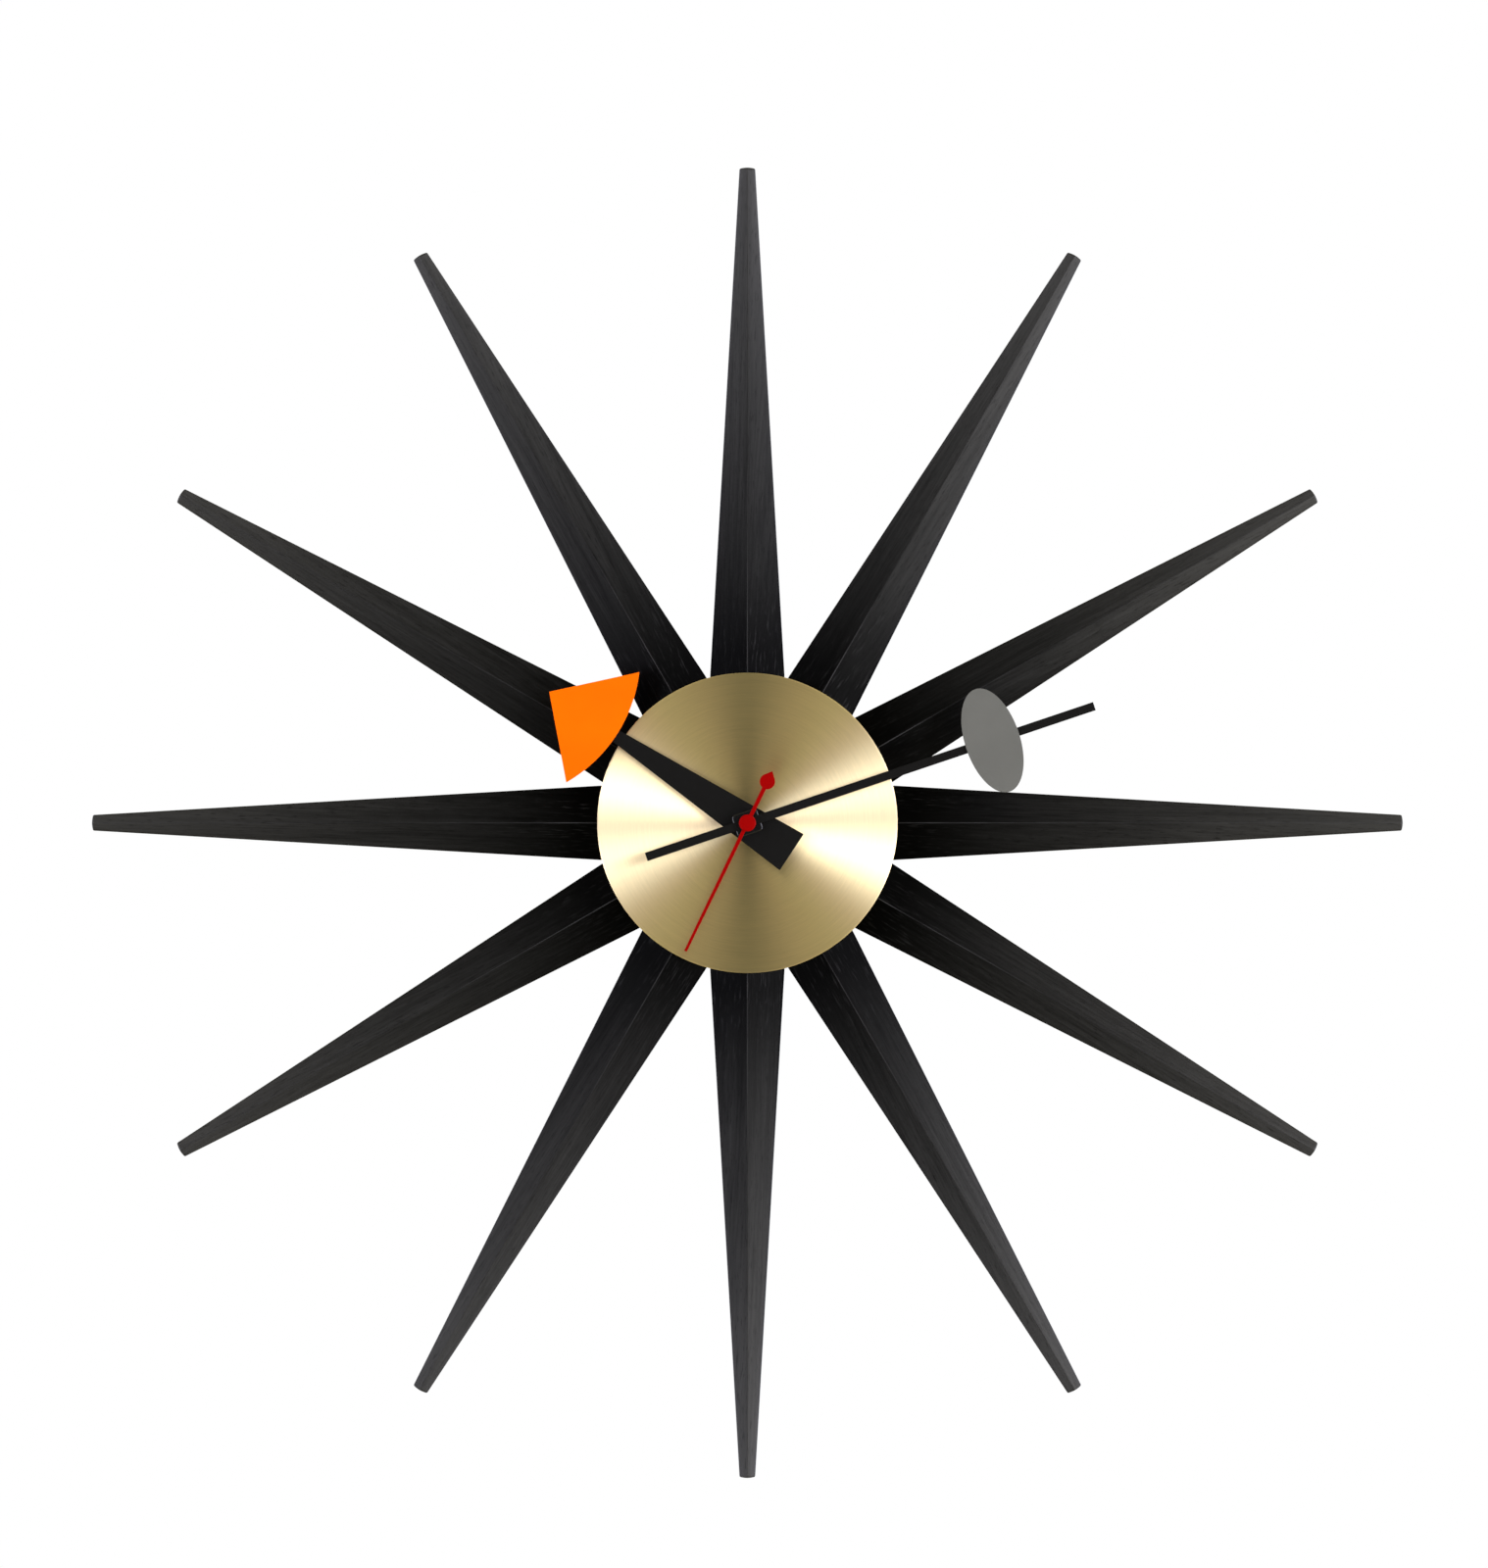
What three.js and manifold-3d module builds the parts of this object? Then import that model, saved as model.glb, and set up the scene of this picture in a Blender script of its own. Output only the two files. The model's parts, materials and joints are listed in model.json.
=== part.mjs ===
// Sunburst wall clock, in millimetres: twelve tapered wooden rays around a brushed brass dial,
// with three hands driven by a battery quartz movement inside a steel hub drum.
//
// Drawing frame: x to the right, y up, z out of the wall towards the viewer. The hands' axis is at
// x = y = 0 and the wall is at z = 0. The finished group is turned so that up is +Z and the dial
// faces -Y, and lowered so that its origin is where the wall screw bears in the hanger's keyhole.
import * as THREE from "three";
import { ConvexGeometry } from "three/addons/geometries/ConvexGeometry.js";
import { mergeVertices } from "three/addons/utils/BufferGeometryUtils.js";
import Module from "manifold-3d";

// ---------------------------------------------------------------- driving dimensions

const GAP = 0.3; // between pieces that touch
const TURN = 2 * Math.PI;
const RIGHT_ANGLE = Math.PI / 2;
const PAST = 1; // how far a cutting tool runs past the piece that it cuts

const DRUM = { radius: 43, wall: 2, rear: 0, front: 28.3, frontWall: 1.5, bore: 4.3, nose: 2 };
const RAY = {
  count: 12,
  tip: 234.8, // radius of the tips, so the clock measures 470 mm across
  widthRadius: 55.5, // radius at which the root width below is measured
  rootWidth: 26.3,
  taper: 0.1156, // width lost per millimetre of radius
  rear: 13,
  rearRise: 0.013, // how far the back comes forward per millimetre of radius
  edge: 25.2, // height of the side edges at the root
  edgeFall: 0.026,
  roofSlope: 0.4, // rise of each facet from side edge to ridge, per millimetre of width
  tipCorner: 0.9,
  tipDome: 0.35,
  shoulder: 2.6,
};
const RAY_SCREW = { height: 19, head: 3.2, headLength: 2, shank: 1.75, point: 58, taper: 4 };
const DIAL = { radius: 53.7, front: 34.2, sheet: 0.8, rimRear: 31.6, bore: 4.4, edge: 0.6 };
const STUD = { circle: 36.5, radius: 1.5, rear: 23.2, count: 3 };
const STUD_NUT = { acrossFlats: 5.5, thickness: 2.4 };
const HANGER = {
  rear: 1.8,
  front: 3,
  radius: 40.6,
  lowerEdge: 20.5,
  entry: 26.5,
  entryRadius: 4.6,
  slotTop: 35.2,
  slotRadius: 2.4,
  bearing: 35.6, // where the wall screw's middle comes to rest
};
const LUG = { x: 27.4, y: 25.6, radius: 4, rear: 3.3, front: 8.6, hole: 1.5 };
const HANGER_SCREW = { head: 2.7, rear: 0.3, point: 8 };

const CASE = { half: 28, corner: 3, rear: 10.5, front: 25, wall: 1.4, divider: -9.2, dividerWall: 1.2 };
const LID = { rear: 9, front: 10.2, corner: 1.5, stemClearance: 0.6 };
const BUSHING = { radius: 4, bore: 2.8, top: 34.8 };
const NUT = { acrossFlats: 12, rear: 29.5, front: 32 };
const WASHER_RADIUS = 8;
const GASKET_RADIUS = 9;
const CELL = {
  radius: 7.25,
  y: -18.5,
  z: 16.05,
  left: -24.9,
  right: 24.3,
  shoulder: 0.8,
  nub: 2.6,
  nubEnd: 25.6,
};
const CONTACT = { sheet: 0.4, halfWidth: 5, rear: 11, front: 22, bump: 0.5 };

const BOARD = { left: 12.5, right: 26, low: -8.4, high: 26, rear: 10.9, front: 11.9 };
const CHIP = { radius: 3, x: 20, y: 2, height: 1.1 };
const CRYSTAL = { radius: 1.5, x: 22, low: 14, high: 20 };
const STATOR = {
  rear: 13.4,
  front: 14.8,
  left: -26,
  right: -2.5,
  leg: 3.5,
  low: 4.1,
  high: 12.5,
  top: 22.5,
};
const COIL = { y: 20.5, z: 15.9, radius: 3.4, flangeRadius: 3.9, flange: 1, left: -21.6, right: -7.4 };
const COIL_CORE = { halfWidth: 1.5, thickness: 1.2 };
const MAGNET = { radius: 2.6, rear: 13.2, front: 15.4, airGap: 0.5 };
const TRAIN_PLATE = { left: -5, right: 24, low: -8.6, high: 19, corner: 2, rear: 16.9, front: 17.9 };
const KNOB = { radius: 5, rear: 5.5, front: 8.7, flutes: 12, fluteDepth: 0.35, stem: 1.2, stemFront: 20.4 };

// Tooth proportions, in modules and in shares of the tooth pitch.
const TOOTH = { crest: 0.8, root: 1.15, crestHalf: 0.11, rootHalf: 0.28 };
const MODULE = { rotor: 0.36, second: 0.5, third: 0.34, centre: 0.36, cannon: 0.6, hour: 0.48 };
const TEETH = {
  rotor: 6,
  fifth: 36,
  fifthPinion: 6,
  second: 30,
  secondPinion: 6,
  third: 48,
  thirdPinion: 6,
  centre: 45,
  cannon: 8,
  motion: 24,
  motionPinion: 8,
  hour: 32,
  setting: 12,
};

// Rear and front of each wheel and pinion.
const LEVEL = {
  rotorPinion: [11.9, 13.3],
  fifthWheel: [12.2, 13],
  fifthPinion: [10.7, 12.3],
  secondWheel: [10.8, 11.6],
  secondPinion: [13.3, 14.65],
  thirdWheel: [13.6, 14.4],
  thirdPinion: [14.3, 16.3],
  centreWheel: [15.2, 16],
  cannonPinion: [18.4, 19.8],
  motionWheel: [18.6, 19.6],
  motionPinion: [19.5, 21.9],
  settingPinion: [18.6, 19.6],
  hourWheel: [20.6, 21.6],
};
const ARBOR = {
  rotor: { radius: 0.4, rear: 10.5, front: 18 },
  fifth: { radius: 0.4, rear: 10.5, front: 13.2 },
  third: { radius: 0.4, rear: 12, front: 16.6 },
  motion: { radius: 0.5, rear: 18.2, front: 23.2 },
};

// Directions seen from the front, in degrees anticlockwise from the right.
const DIRECTION = { fifth: 150, rotor: 150, third: 30, motion: 90, setting: 30 };

// Hands at rest, in degrees clockwise from twelve.
const TIME = { hour: 303.5, minute: 71.3, second: 205.7 };
const HOUR_HAND = { rear: 37.4, sheet: 0.8, tail: 19, tailWidth: 15.5, taper: 0.144, tip: 66 };
const FLAG = { corner: 84.9, shoulder: 61.9, halfWidth: 23.65, nose: 56.3 };
const MINUTE_HAND = { rear: 41.5, sheet: 0.8, tail: 38.1, tip: 130.7, width: 3.1, boss: 3 };
const OVAL = { centre: 92.3, halfAcross: 19.3, halfAlong: 9.8 };
const HUB_PLATE = { rear: 40, front: 41.2, length: 9.4, width: 8.2, corner: 1.8 };
const SECOND_HAND = {
  rear: 44.2,
  front: 44.8,
  tip: 50.8,
  hubWidth: 1.5,
  tipWidth: 1.0,
  hub: 3.05,
  hubRear: 43.6,
  hubFront: 45.4,
  leaf: 16.4,
  leafRadius: 2.75,
  leafPoint: 20.5,
};

// Shafts and pipes on the hands' axis, from the inside out.
const SECOND_ARBOR = { radius: 0.5, rear: 10.5, front: 44.6 };
const CANNON_PIPE = { bore: 0.8, radius: 1.5, rear: 14.95, front: 42.8 };
const HOUR_PIPE = { bore: 1.8, radius: 2.5, rear: 21, front: 38.6 };

// ---------------------------------------------------------------- materials

const finish = (color, roughness, metalness) =>
  new THREE.MeshStandardMaterial({ color, roughness, metalness });
const MATERIAL = {
  blackAsh: finish(0x1c1c1b, 0.45, 0),
  brass: finish(0xc9b27a, 0.3, 1),
  gearBrass: finish(0xc8a24a, 0.35, 1),
  steel: finish(0xb4b6b8, 0.35, 1),
  blackSteel: finish(0x161616, 0.5, 0.4),
  handBlack: finish(0x1f1f1f, 0.45, 0.1),
  orange: finish(0xfd7b03, 0.5, 0),
  grey: finish(0x74756f, 0.5, 0),
  red: finish(0xc40505, 0.4, 0),
  casePlastic: finish(0x202123, 0.55, 0),
  whitePlastic: finish(0xe6e4dc, 0.5, 0),
  rubber: finish(0x2a2a2a, 0.9, 0),
  board: finish(0x2f6b3a, 0.6, 0),
  copper: finish(0xb4632f, 0.4, 0.8),
  magnet: finish(0x4a4a4c, 0.5, 0.6),
  cellWrap: finish(0x55606e, 0.4, 0.2),
};

// ---------------------------------------------------------------- solids

const wasm = await Module();
wasm.setup();

function toSolid(geometry) {
  const bare = geometry.index ? geometry.toNonIndexed() : geometry.clone();
  bare.deleteAttribute("normal");
  bare.deleteAttribute("uv");
  const merged = mergeVertices(bare, 1e-4);
  const mesh = new wasm.Mesh({
    numProp: 3,
    vertProperties: new Float32Array(merged.attributes.position.array),
    triVerts: new Uint32Array(merged.index.array),
  });
  return new wasm.Manifold(mesh);
}

function toGeometry(solid) {
  const { vertProperties, triVerts } = solid.getMesh();
  const geometry = new THREE.BufferGeometry();
  geometry.setAttribute("position", new THREE.BufferAttribute(vertProperties, 3));
  geometry.setIndex(new THREE.BufferAttribute(triVerts, 1));
  const faceted = geometry.toNonIndexed();
  faceted.computeVertexNormals();
  return faceted;
}

const join = (...pieces) =>
  toGeometry(pieces.map(toSolid).reduce((whole, piece) => whole.add(piece)));
const cut = (base, ...tools) =>
  toGeometry(tools.map(toSolid).reduce((whole, tool) => whole.subtract(tool), toSolid(base)));
const common = (a, b) => toGeometry(toSolid(a).intersect(toSolid(b)));

// A flat outline thickened from z = rear to z = front.
function plate(outline, rear, front, curveSegments = 6) {
  const options = { depth: front - rear, bevelEnabled: false, curveSegments };
  return new THREE.ExtrudeGeometry(outline, options).translate(0, 0, rear);
}

// A profile of [radius, z] points turned about the z axis, listed with the solid on its left.
function turned(profile, segments) {
  const points = profile.map(([radius, z]) => new THREE.Vector2(radius, z));
  return new THREE.LatheGeometry(points, segments).rotateX(RIGHT_ANGLE);
}

function rod(radius, rear, front, segments = 12) {
  return turned([[0, rear], [radius, rear], [radius, front], [0, front]], segments);
}

function tube(bore, radius, rear, front, segments = 20) {
  const profile = [[bore, rear], [radius, rear], [radius, front], [bore, front], [bore, rear]];
  return turned(profile, segments);
}

function block(xLow, xHigh, yLow, yHigh, zLow, zHigh) {
  const box = new THREE.BoxGeometry(xHigh - xLow, yHigh - yLow, zHigh - zLow);
  return box.translate((xLow + xHigh) / 2, (yLow + yHigh) / 2, (zLow + zHigh) / 2);
}

// A rectangle with rounded corners, centred on (x, y).
function roundedRectangle(width, height, corner, x = 0, y = 0) {
  const [right, top] = [width / 2 - corner, height / 2 - corner];
  const outline = new THREE.Shape();
  outline.absarc(x + right, y + top, corner, 0, RIGHT_ANGLE);
  outline.absarc(x - right, y + top, corner, RIGHT_ANGLE, 2 * RIGHT_ANGLE);
  outline.absarc(x - right, y - top, corner, 2 * RIGHT_ANGLE, 3 * RIGHT_ANGLE);
  outline.absarc(x + right, y - top, corner, 3 * RIGHT_ANGLE, TURN);
  return outline;
}

function circle(radius, x = 0, y = 0) {
  return new THREE.Path().absarc(x, y, radius, 0, TURN, true);
}

function regularPolygon(sides, acrossFlats) {
  const corner = acrossFlats / 2 / Math.cos(Math.PI / sides);
  const points = Array.from({ length: sides }, (_, i) => polar(corner, (i * TURN) / sides));
  return new THREE.Shape(points);
}

const radians = THREE.MathUtils.degToRad;
const polar = (radius, angle) =>
  new THREE.Vector2(radius * Math.cos(angle), radius * Math.sin(angle));

// ---------------------------------------------------------------- scene graph helpers

const clock = new THREE.Group();
clock.rotation.x = RIGHT_ANGLE;
clock.position.z = -HANGER.bearing;

function add(name, geometry, material, parent = clock) {
  const mesh = new THREE.Mesh(geometry, material);
  mesh.name = name;
  parent.add(mesh);
  return mesh;
}

function group(x = 0, y = 0, angle = 0) {
  const holder = new THREE.Group();
  holder.position.set(x, y, 0);
  holder.rotation.z = angle;
  clock.add(holder);
  return holder;
}

const numbered = (name, index) => `${name}_${String(index + 1).padStart(2, "0")}`;

// ---------------------------------------------------------------- rays and their screws

// The ray points along +y and its middle line is x = 0.
const rayHalfWidth = (radius) => (RAY.rootWidth - RAY.taper * (radius - RAY.widthRadius)) / 2;

// Its outline seen from the front: a wedge between its neighbours up to the shoulders, then a
// straight taper to a blunt tip. The root is hollowed to sit around the drum.
function rayOutline() {
  const halfSector = Math.PI / RAY.count;
  const root = DRUM.radius + GAP;
  const sideGap = GAP / 2 / Math.cos(halfSector);
  const wedgeSlope = Math.tan(halfSector);
  const sideSlope = RAY.taper / 2;
  const corner = (rayHalfWidth(0) + sideGap) / (wedgeSlope + sideSlope);
  const wedge = (y) => y * wedgeSlope - sideGap;
  const [wedgeEnd, sideStart] = [corner - RAY.shoulder, corner + RAY.shoulder];
  const rootAngle = halfSector - Math.asin(sideGap * Math.cos(halfSector) / root);
  const [rootX, rootY] = [root * Math.sin(rootAngle), root * Math.cos(rootAngle)];
  const tipEnd = RAY.tip - RAY.tipDome;
  const tipSide = tipEnd - RAY.tipCorner;
  const tipX = rayHalfWidth(tipSide);

  const outline = new THREE.Shape();
  outline.moveTo(rootX, rootY);
  outline.lineTo(wedge(wedgeEnd), wedgeEnd);
  outline.quadraticCurveTo(wedge(corner), corner, rayHalfWidth(sideStart), sideStart);
  outline.lineTo(tipX, tipSide);
  outline.quadraticCurveTo(tipX, tipEnd, tipX - RAY.tipCorner, tipEnd);
  outline.quadraticCurveTo(0, RAY.tip + RAY.tipDome, RAY.tipCorner - tipX, tipEnd);
  outline.quadraticCurveTo(-tipX, tipEnd, -tipX, tipSide);
  outline.lineTo(-rayHalfWidth(sideStart), sideStart);
  outline.quadraticCurveTo(-wedge(corner), corner, -wedge(wedgeEnd), wedgeEnd);
  outline.lineTo(-rootX, rootY);
  outline.absarc(0, 0, root, RIGHT_ANGLE + rootAngle, RIGHT_ANGLE - rootAngle, true);
  return outline;
}

// The same five-cornered section at the root and at the tip: flat back, two side walls, two facets.
function raySection(radius) {
  const half = rayHalfWidth(radius);
  const run = radius - DRUM.radius;
  const rear = RAY.rear + RAY.rearRise * run;
  const edge = RAY.edge - RAY.edgeFall * run;
  return [
    new THREE.Vector3(-half, radius, rear),
    new THREE.Vector3(half, radius, rear),
    new THREE.Vector3(half, radius, edge),
    new THREE.Vector3(0, radius, edge + RAY.roofSlope * half),
    new THREE.Vector3(-half, radius, edge),
  ];
}

function rayGeometry() {
  const inside = DRUM.radius - PAST;
  const blank = new ConvexGeometry([...raySection(inside), ...raySection(RAY.tip + PAST)]);
  const profile = plate(rayOutline(), RAY.rear - PAST, DIAL.rimRear + PAST, 3);
  const pilot = rod(RAY_SCREW.shank + GAP, inside, RAY_SCREW.point + GAP, 8);
  pilot.rotateX(-RIGHT_ANGLE).translate(0, 0, RAY_SCREW.height);
  return cut(common(blank, profile), pilot);
}

// Pan-head wood screw along +y, driven outwards from inside the drum.
function rayScrewGeometry() {
  const headFront = DRUM.radius - DRUM.wall - GAP;
  const headRear = headFront - RAY_SCREW.headLength;
  const profile = [
    [0, headRear],
    [RAY_SCREW.head * 0.7, headRear],
    [RAY_SCREW.head, headFront - RAY_SCREW.headLength / 2],
    [RAY_SCREW.head, headFront],
    [RAY_SCREW.shank, headFront],
    [RAY_SCREW.shank, RAY_SCREW.point - RAY_SCREW.taper],
    [0, RAY_SCREW.point],
  ];
  return turned(profile, 8).rotateX(-RIGHT_ANGLE).translate(0, 0, RAY_SCREW.height);
}

function addRays() {
  const ray = rayGeometry();
  const screw = rayScrewGeometry();
  for (let i = 0; i < RAY.count; i++) {
    const holder = group(0, 0, (-i * TURN) / RAY.count);
    add(numbered("ray", i), ray, MATERIAL.blackAsh, holder);
    add(numbered("ray_screw", i), screw, MATERIAL.steel, holder);
  }
}

// ---------------------------------------------------------------- hub drum, dial and hanger

const studPlaces = Array.from({ length: STUD.count }, (_, i) =>
  polar(STUD.circle, RIGHT_ANGLE + (i * TURN) / STUD.count));
const lugSides = [-1, 1];

// Spun steel cup, open at the back, with two lugs inside for the hanger plate.
function drumGeometry() {
  const inner = DRUM.radius - DRUM.wall;
  const wallRear = DRUM.front - DRUM.frontWall;
  const profile = [
    [DRUM.radius, DRUM.rear],
    [DRUM.radius, DRUM.front - DRUM.nose],
    [DRUM.radius - DRUM.nose, DRUM.front],
    [DRUM.bore, DRUM.front],
    [DRUM.bore, wallRear],
    [inner, wallRear],
    [inner, DRUM.rear],
    [DRUM.radius, DRUM.rear],
  ];
  const cup = turned(profile, 40);
  const lugs = lugSides.map((side) =>
    rod(LUG.radius, LUG.rear, LUG.front, 16).translate(side * LUG.x, LUG.y, 0));
  const lugHoles = lugSides.map((side) =>
    rod(LUG.hole, LUG.rear - PAST, LUG.front + PAST, 10).translate(side * LUG.x, LUG.y, 0));
  const studHoles = studPlaces.map((place) =>
    rod(STUD.radius + GAP, wallRear - PAST, DRUM.front + PAST, 10).translate(place.x, place.y, 0));
  const screwHoles = Array.from({ length: RAY.count }, (_, i) => {
    const hole = rod(RAY_SCREW.shank + GAP, inner - PAST, DRUM.radius + PAST, 8);
    return hole.rotateX(-RIGHT_ANGLE).translate(0, 0, RAY_SCREW.height).rotateZ((-i * TURN) / RAY.count);
  });
  return cut(join(cup, ...lugs), ...lugHoles, ...studHoles, ...screwHoles);
}

// Brass disc with a turned-back rim and three studs welded to its back.
function dialGeometry() {
  const back = DIAL.front - DIAL.sheet;
  const profile = [
    [DIAL.bore, back],
    [DIAL.radius - DIAL.sheet, back],
    [DIAL.radius - DIAL.sheet, DIAL.rimRear],
    [DIAL.radius, DIAL.rimRear],
    [DIAL.radius, DIAL.front - DIAL.edge],
    [DIAL.radius - DIAL.edge, DIAL.front],
    [DIAL.bore, DIAL.front],
    [DIAL.bore, back],
  ];
  const studs = studPlaces.map((place) =>
    rod(STUD.radius, STUD.rear, back + DIAL.sheet / 2, 10).translate(place.x, place.y, 0));
  return join(turned(profile, 60), ...studs);
}

function addStudNuts() {
  const outline = regularPolygon(6, STUD_NUT.acrossFlats);
  outline.holes.push(circle(STUD.radius + GAP));
  const front = DRUM.front - DRUM.frontWall - GAP;
  studPlaces.forEach((place, i) => {
    const nut = plate(outline, front - STUD_NUT.thickness, front, 3).translate(place.x, place.y, 0);
    add(numbered("dial_nut", i), nut, MATERIAL.steel);
  });
}

// Plate across the top of the drum's open back, with a keyhole for the wall screw.
function hangerGeometry() {
  const halfChord = Math.sqrt(HANGER.radius ** 2 - HANGER.lowerEdge ** 2);
  const start = Math.atan2(HANGER.lowerEdge, halfChord);
  const outline = new THREE.Shape();
  outline.absarc(0, 0, HANGER.radius, start, Math.PI - start);

  const mouth = Math.asin(HANGER.slotRadius / HANGER.entryRadius);
  const keyhole = new THREE.Path();
  keyhole.absarc(0, HANGER.slotTop, HANGER.slotRadius, 0, Math.PI);
  const [mouthLeft, mouthRight] = [RIGHT_ANGLE + mouth, RIGHT_ANGLE - mouth + TURN];
  keyhole.absarc(0, HANGER.entry, HANGER.entryRadius, mouthLeft, mouthRight);
  outline.holes.push(keyhole);
  const blank = plate(outline, HANGER.rear, HANGER.front, 10);
  const holes = lugSides.map((side) =>
    rod(LUG.hole + GAP, HANGER.rear - PAST, HANGER.front + PAST, 10).translate(side * LUG.x, LUG.y, 0));
  return cut(blank, ...holes);
}

function addHangerScrews() {
  const shank = LUG.hole - GAP;
  const headFront = HANGER.rear - GAP;
  const profile = [
    [0, HANGER_SCREW.rear],
    [HANGER_SCREW.head, HANGER_SCREW.rear],
    [HANGER_SCREW.head, headFront],
    [shank, headFront],
    [shank, HANGER_SCREW.point],
    [0, HANGER_SCREW.point],
  ];
  lugSides.forEach((side, i) => {
    const screw = turned(profile, 10).translate(side * LUG.x, LUG.y, 0);
    add(numbered("hanger_screw", i), screw, MATERIAL.steel);
  });
}

// ---------------------------------------------------------------- movement case and battery

const caseInside = CASE.half - CASE.wall;
const bayTop = CASE.divider - CASE.dividerWall;

// Moulded tray with the gear room above, the battery bay below and the threaded bushing in front.
function caseGeometry() {
  const blank = plate(roundedRectangle(2 * CASE.half, 2 * CASE.half, CASE.corner), CASE.rear, CASE.front);
  const bushing = rod(BUSHING.radius, CASE.front - CASE.wall / 2, BUSHING.top, 24);
  const floor = CASE.front - CASE.wall;
  const room = block(-caseInside, caseInside, CASE.divider, caseInside, CASE.rear - PAST, floor);
  const bay = block(-caseInside, caseInside, -caseInside, bayTop, CASE.rear - PAST, floor);
  const bore = rod(BUSHING.bore, CASE.rear, BUSHING.top + PAST, 20);
  return cut(join(blank, bushing), room, bay, bore);
}

// Flat lid over the gear room. The knob's stem passes through it.
function lidGeometry() {
  const height = CASE.half - bayTop;
  const outline = roundedRectangle(2 * CASE.half, height, LID.corner, 0, bayTop + height / 2);
  outline.holes.push(circle(KNOB.stem + LID.stemClearance, axis.setting.x, axis.setting.y));
  return plate(outline, LID.rear, LID.front, 5);
}

// Size AA cell lying along x: wrapped body with a bright nub at its right-hand end.
function cellGeometry() {
  const profile = [
    [0, CELL.left],
    [CELL.radius - CELL.shoulder, CELL.left],
    [CELL.radius, CELL.left + CELL.shoulder],
    [CELL.radius, CELL.right - CELL.shoulder],
    [CELL.radius - CELL.shoulder, CELL.right],
    [CELL.nub, CELL.right],
    [CELL.nub, CELL.nubEnd],
    [0, CELL.nubEnd],
  ];
  return turned(profile, 20).rotateY(RIGHT_ANGLE).translate(0, CELL.y, CELL.z);
}

// Metal strips at the two ends of the bay. The negative one, on the left, has a bump for the cell.
function contactGeometry(side) {
  const outer = side * (caseInside - GAP);
  const inner = outer - side * CONTACT.sheet;
  const [left, right] = [Math.min(outer, inner), Math.max(outer, inner)];
  const [low, high] = [CELL.y - CONTACT.halfWidth, CELL.y + CONTACT.halfWidth];
  const strip = block(left, right, low, high, CONTACT.rear, CONTACT.front);
  if (side > 0) return strip;
  const bump = rod(1, -CONTACT.sheet / 2, CONTACT.bump - CONTACT.sheet / 4, 10);
  return join(strip, bump.rotateY(RIGHT_ANGLE).translate(right, CELL.y, CELL.z));
}

function addFixing() {
  const wallRear = DRUM.front - DRUM.frontWall;
  const gasket = tube(BUSHING.radius + GAP, GASKET_RADIUS, CASE.front + GAP, wallRear - GAP);
  const washer = tube(BUSHING.radius + GAP, WASHER_RADIUS, DRUM.front + GAP, NUT.rear - GAP);
  const outline = regularPolygon(6, NUT.acrossFlats);
  outline.holes.push(circle(BUSHING.radius + GAP));
  add("rubber_gasket", gasket, MATERIAL.rubber);
  add("bushing_washer", washer, MATERIAL.steel);
  add("bushing_nut", plate(outline, NUT.rear, NUT.front), MATERIAL.gearBrass);
}

// ---------------------------------------------------------------- electronics

function boardGeometry() {
  const board = block(BOARD.left, BOARD.right, BOARD.low, BOARD.high, BOARD.rear, BOARD.front);
  const boardMiddle = (BOARD.rear + BOARD.front) / 2;
  const chip = rod(CHIP.radius, boardMiddle, BOARD.front + CHIP.height, 14).translate(CHIP.x, CHIP.y, 0);
  return join(board, chip);
}

function crystalGeometry() {
  const can = rod(CRYSTAL.radius, CRYSTAL.low, CRYSTAL.high, 12).rotateX(-RIGHT_ANGLE);
  return can.translate(CRYSTAL.x, 0, BOARD.front + GAP + CRYSTAL.radius);
}

// Soft-iron yoke: a bar around the rotor with a leg to each end of the coil's core.
function statorGeometry() {
  const outline = new THREE.Shape([
    new THREE.Vector2(STATOR.left, STATOR.low),
    new THREE.Vector2(STATOR.right, STATOR.low),
    new THREE.Vector2(STATOR.right, STATOR.top),
    new THREE.Vector2(STATOR.right - STATOR.leg, STATOR.top),
    new THREE.Vector2(STATOR.right - STATOR.leg, STATOR.high),
    new THREE.Vector2(STATOR.left + STATOR.leg, STATOR.high),
    new THREE.Vector2(STATOR.left + STATOR.leg, STATOR.top),
    new THREE.Vector2(STATOR.left, STATOR.top),
  ]);
  outline.holes.push(circle(MAGNET.radius + MAGNET.airGap, axis.rotor.x, axis.rotor.y));
  return plate(outline, STATOR.rear, STATOR.front, 5);
}

// Bobbin with its winding, on a core that reaches over both legs of the stator.
function coilGeometry() {
  const profile = [
    [0, COIL.left],
    [COIL.flangeRadius, COIL.left],
    [COIL.flangeRadius, COIL.left + COIL.flange],
    [COIL.radius, COIL.left + COIL.flange],
    [COIL.radius, COIL.right - COIL.flange],
    [COIL.flangeRadius, COIL.right - COIL.flange],
    [COIL.flangeRadius, COIL.right],
    [0, COIL.right],
  ];
  const winding = turned(profile, 16).rotateY(RIGHT_ANGLE).translate(0, COIL.y, COIL.z);
  const [low, high] = [COIL.y - COIL_CORE.halfWidth, COIL.y + COIL_CORE.halfWidth];
  const rear = STATOR.front + GAP;
  const core = block(STATOR.left, STATOR.right, low, high, rear, rear + COIL_CORE.thickness);
  return join(winding, core);
}

// ---------------------------------------------------------------- wheels

const axis = trainAxes();

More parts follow.
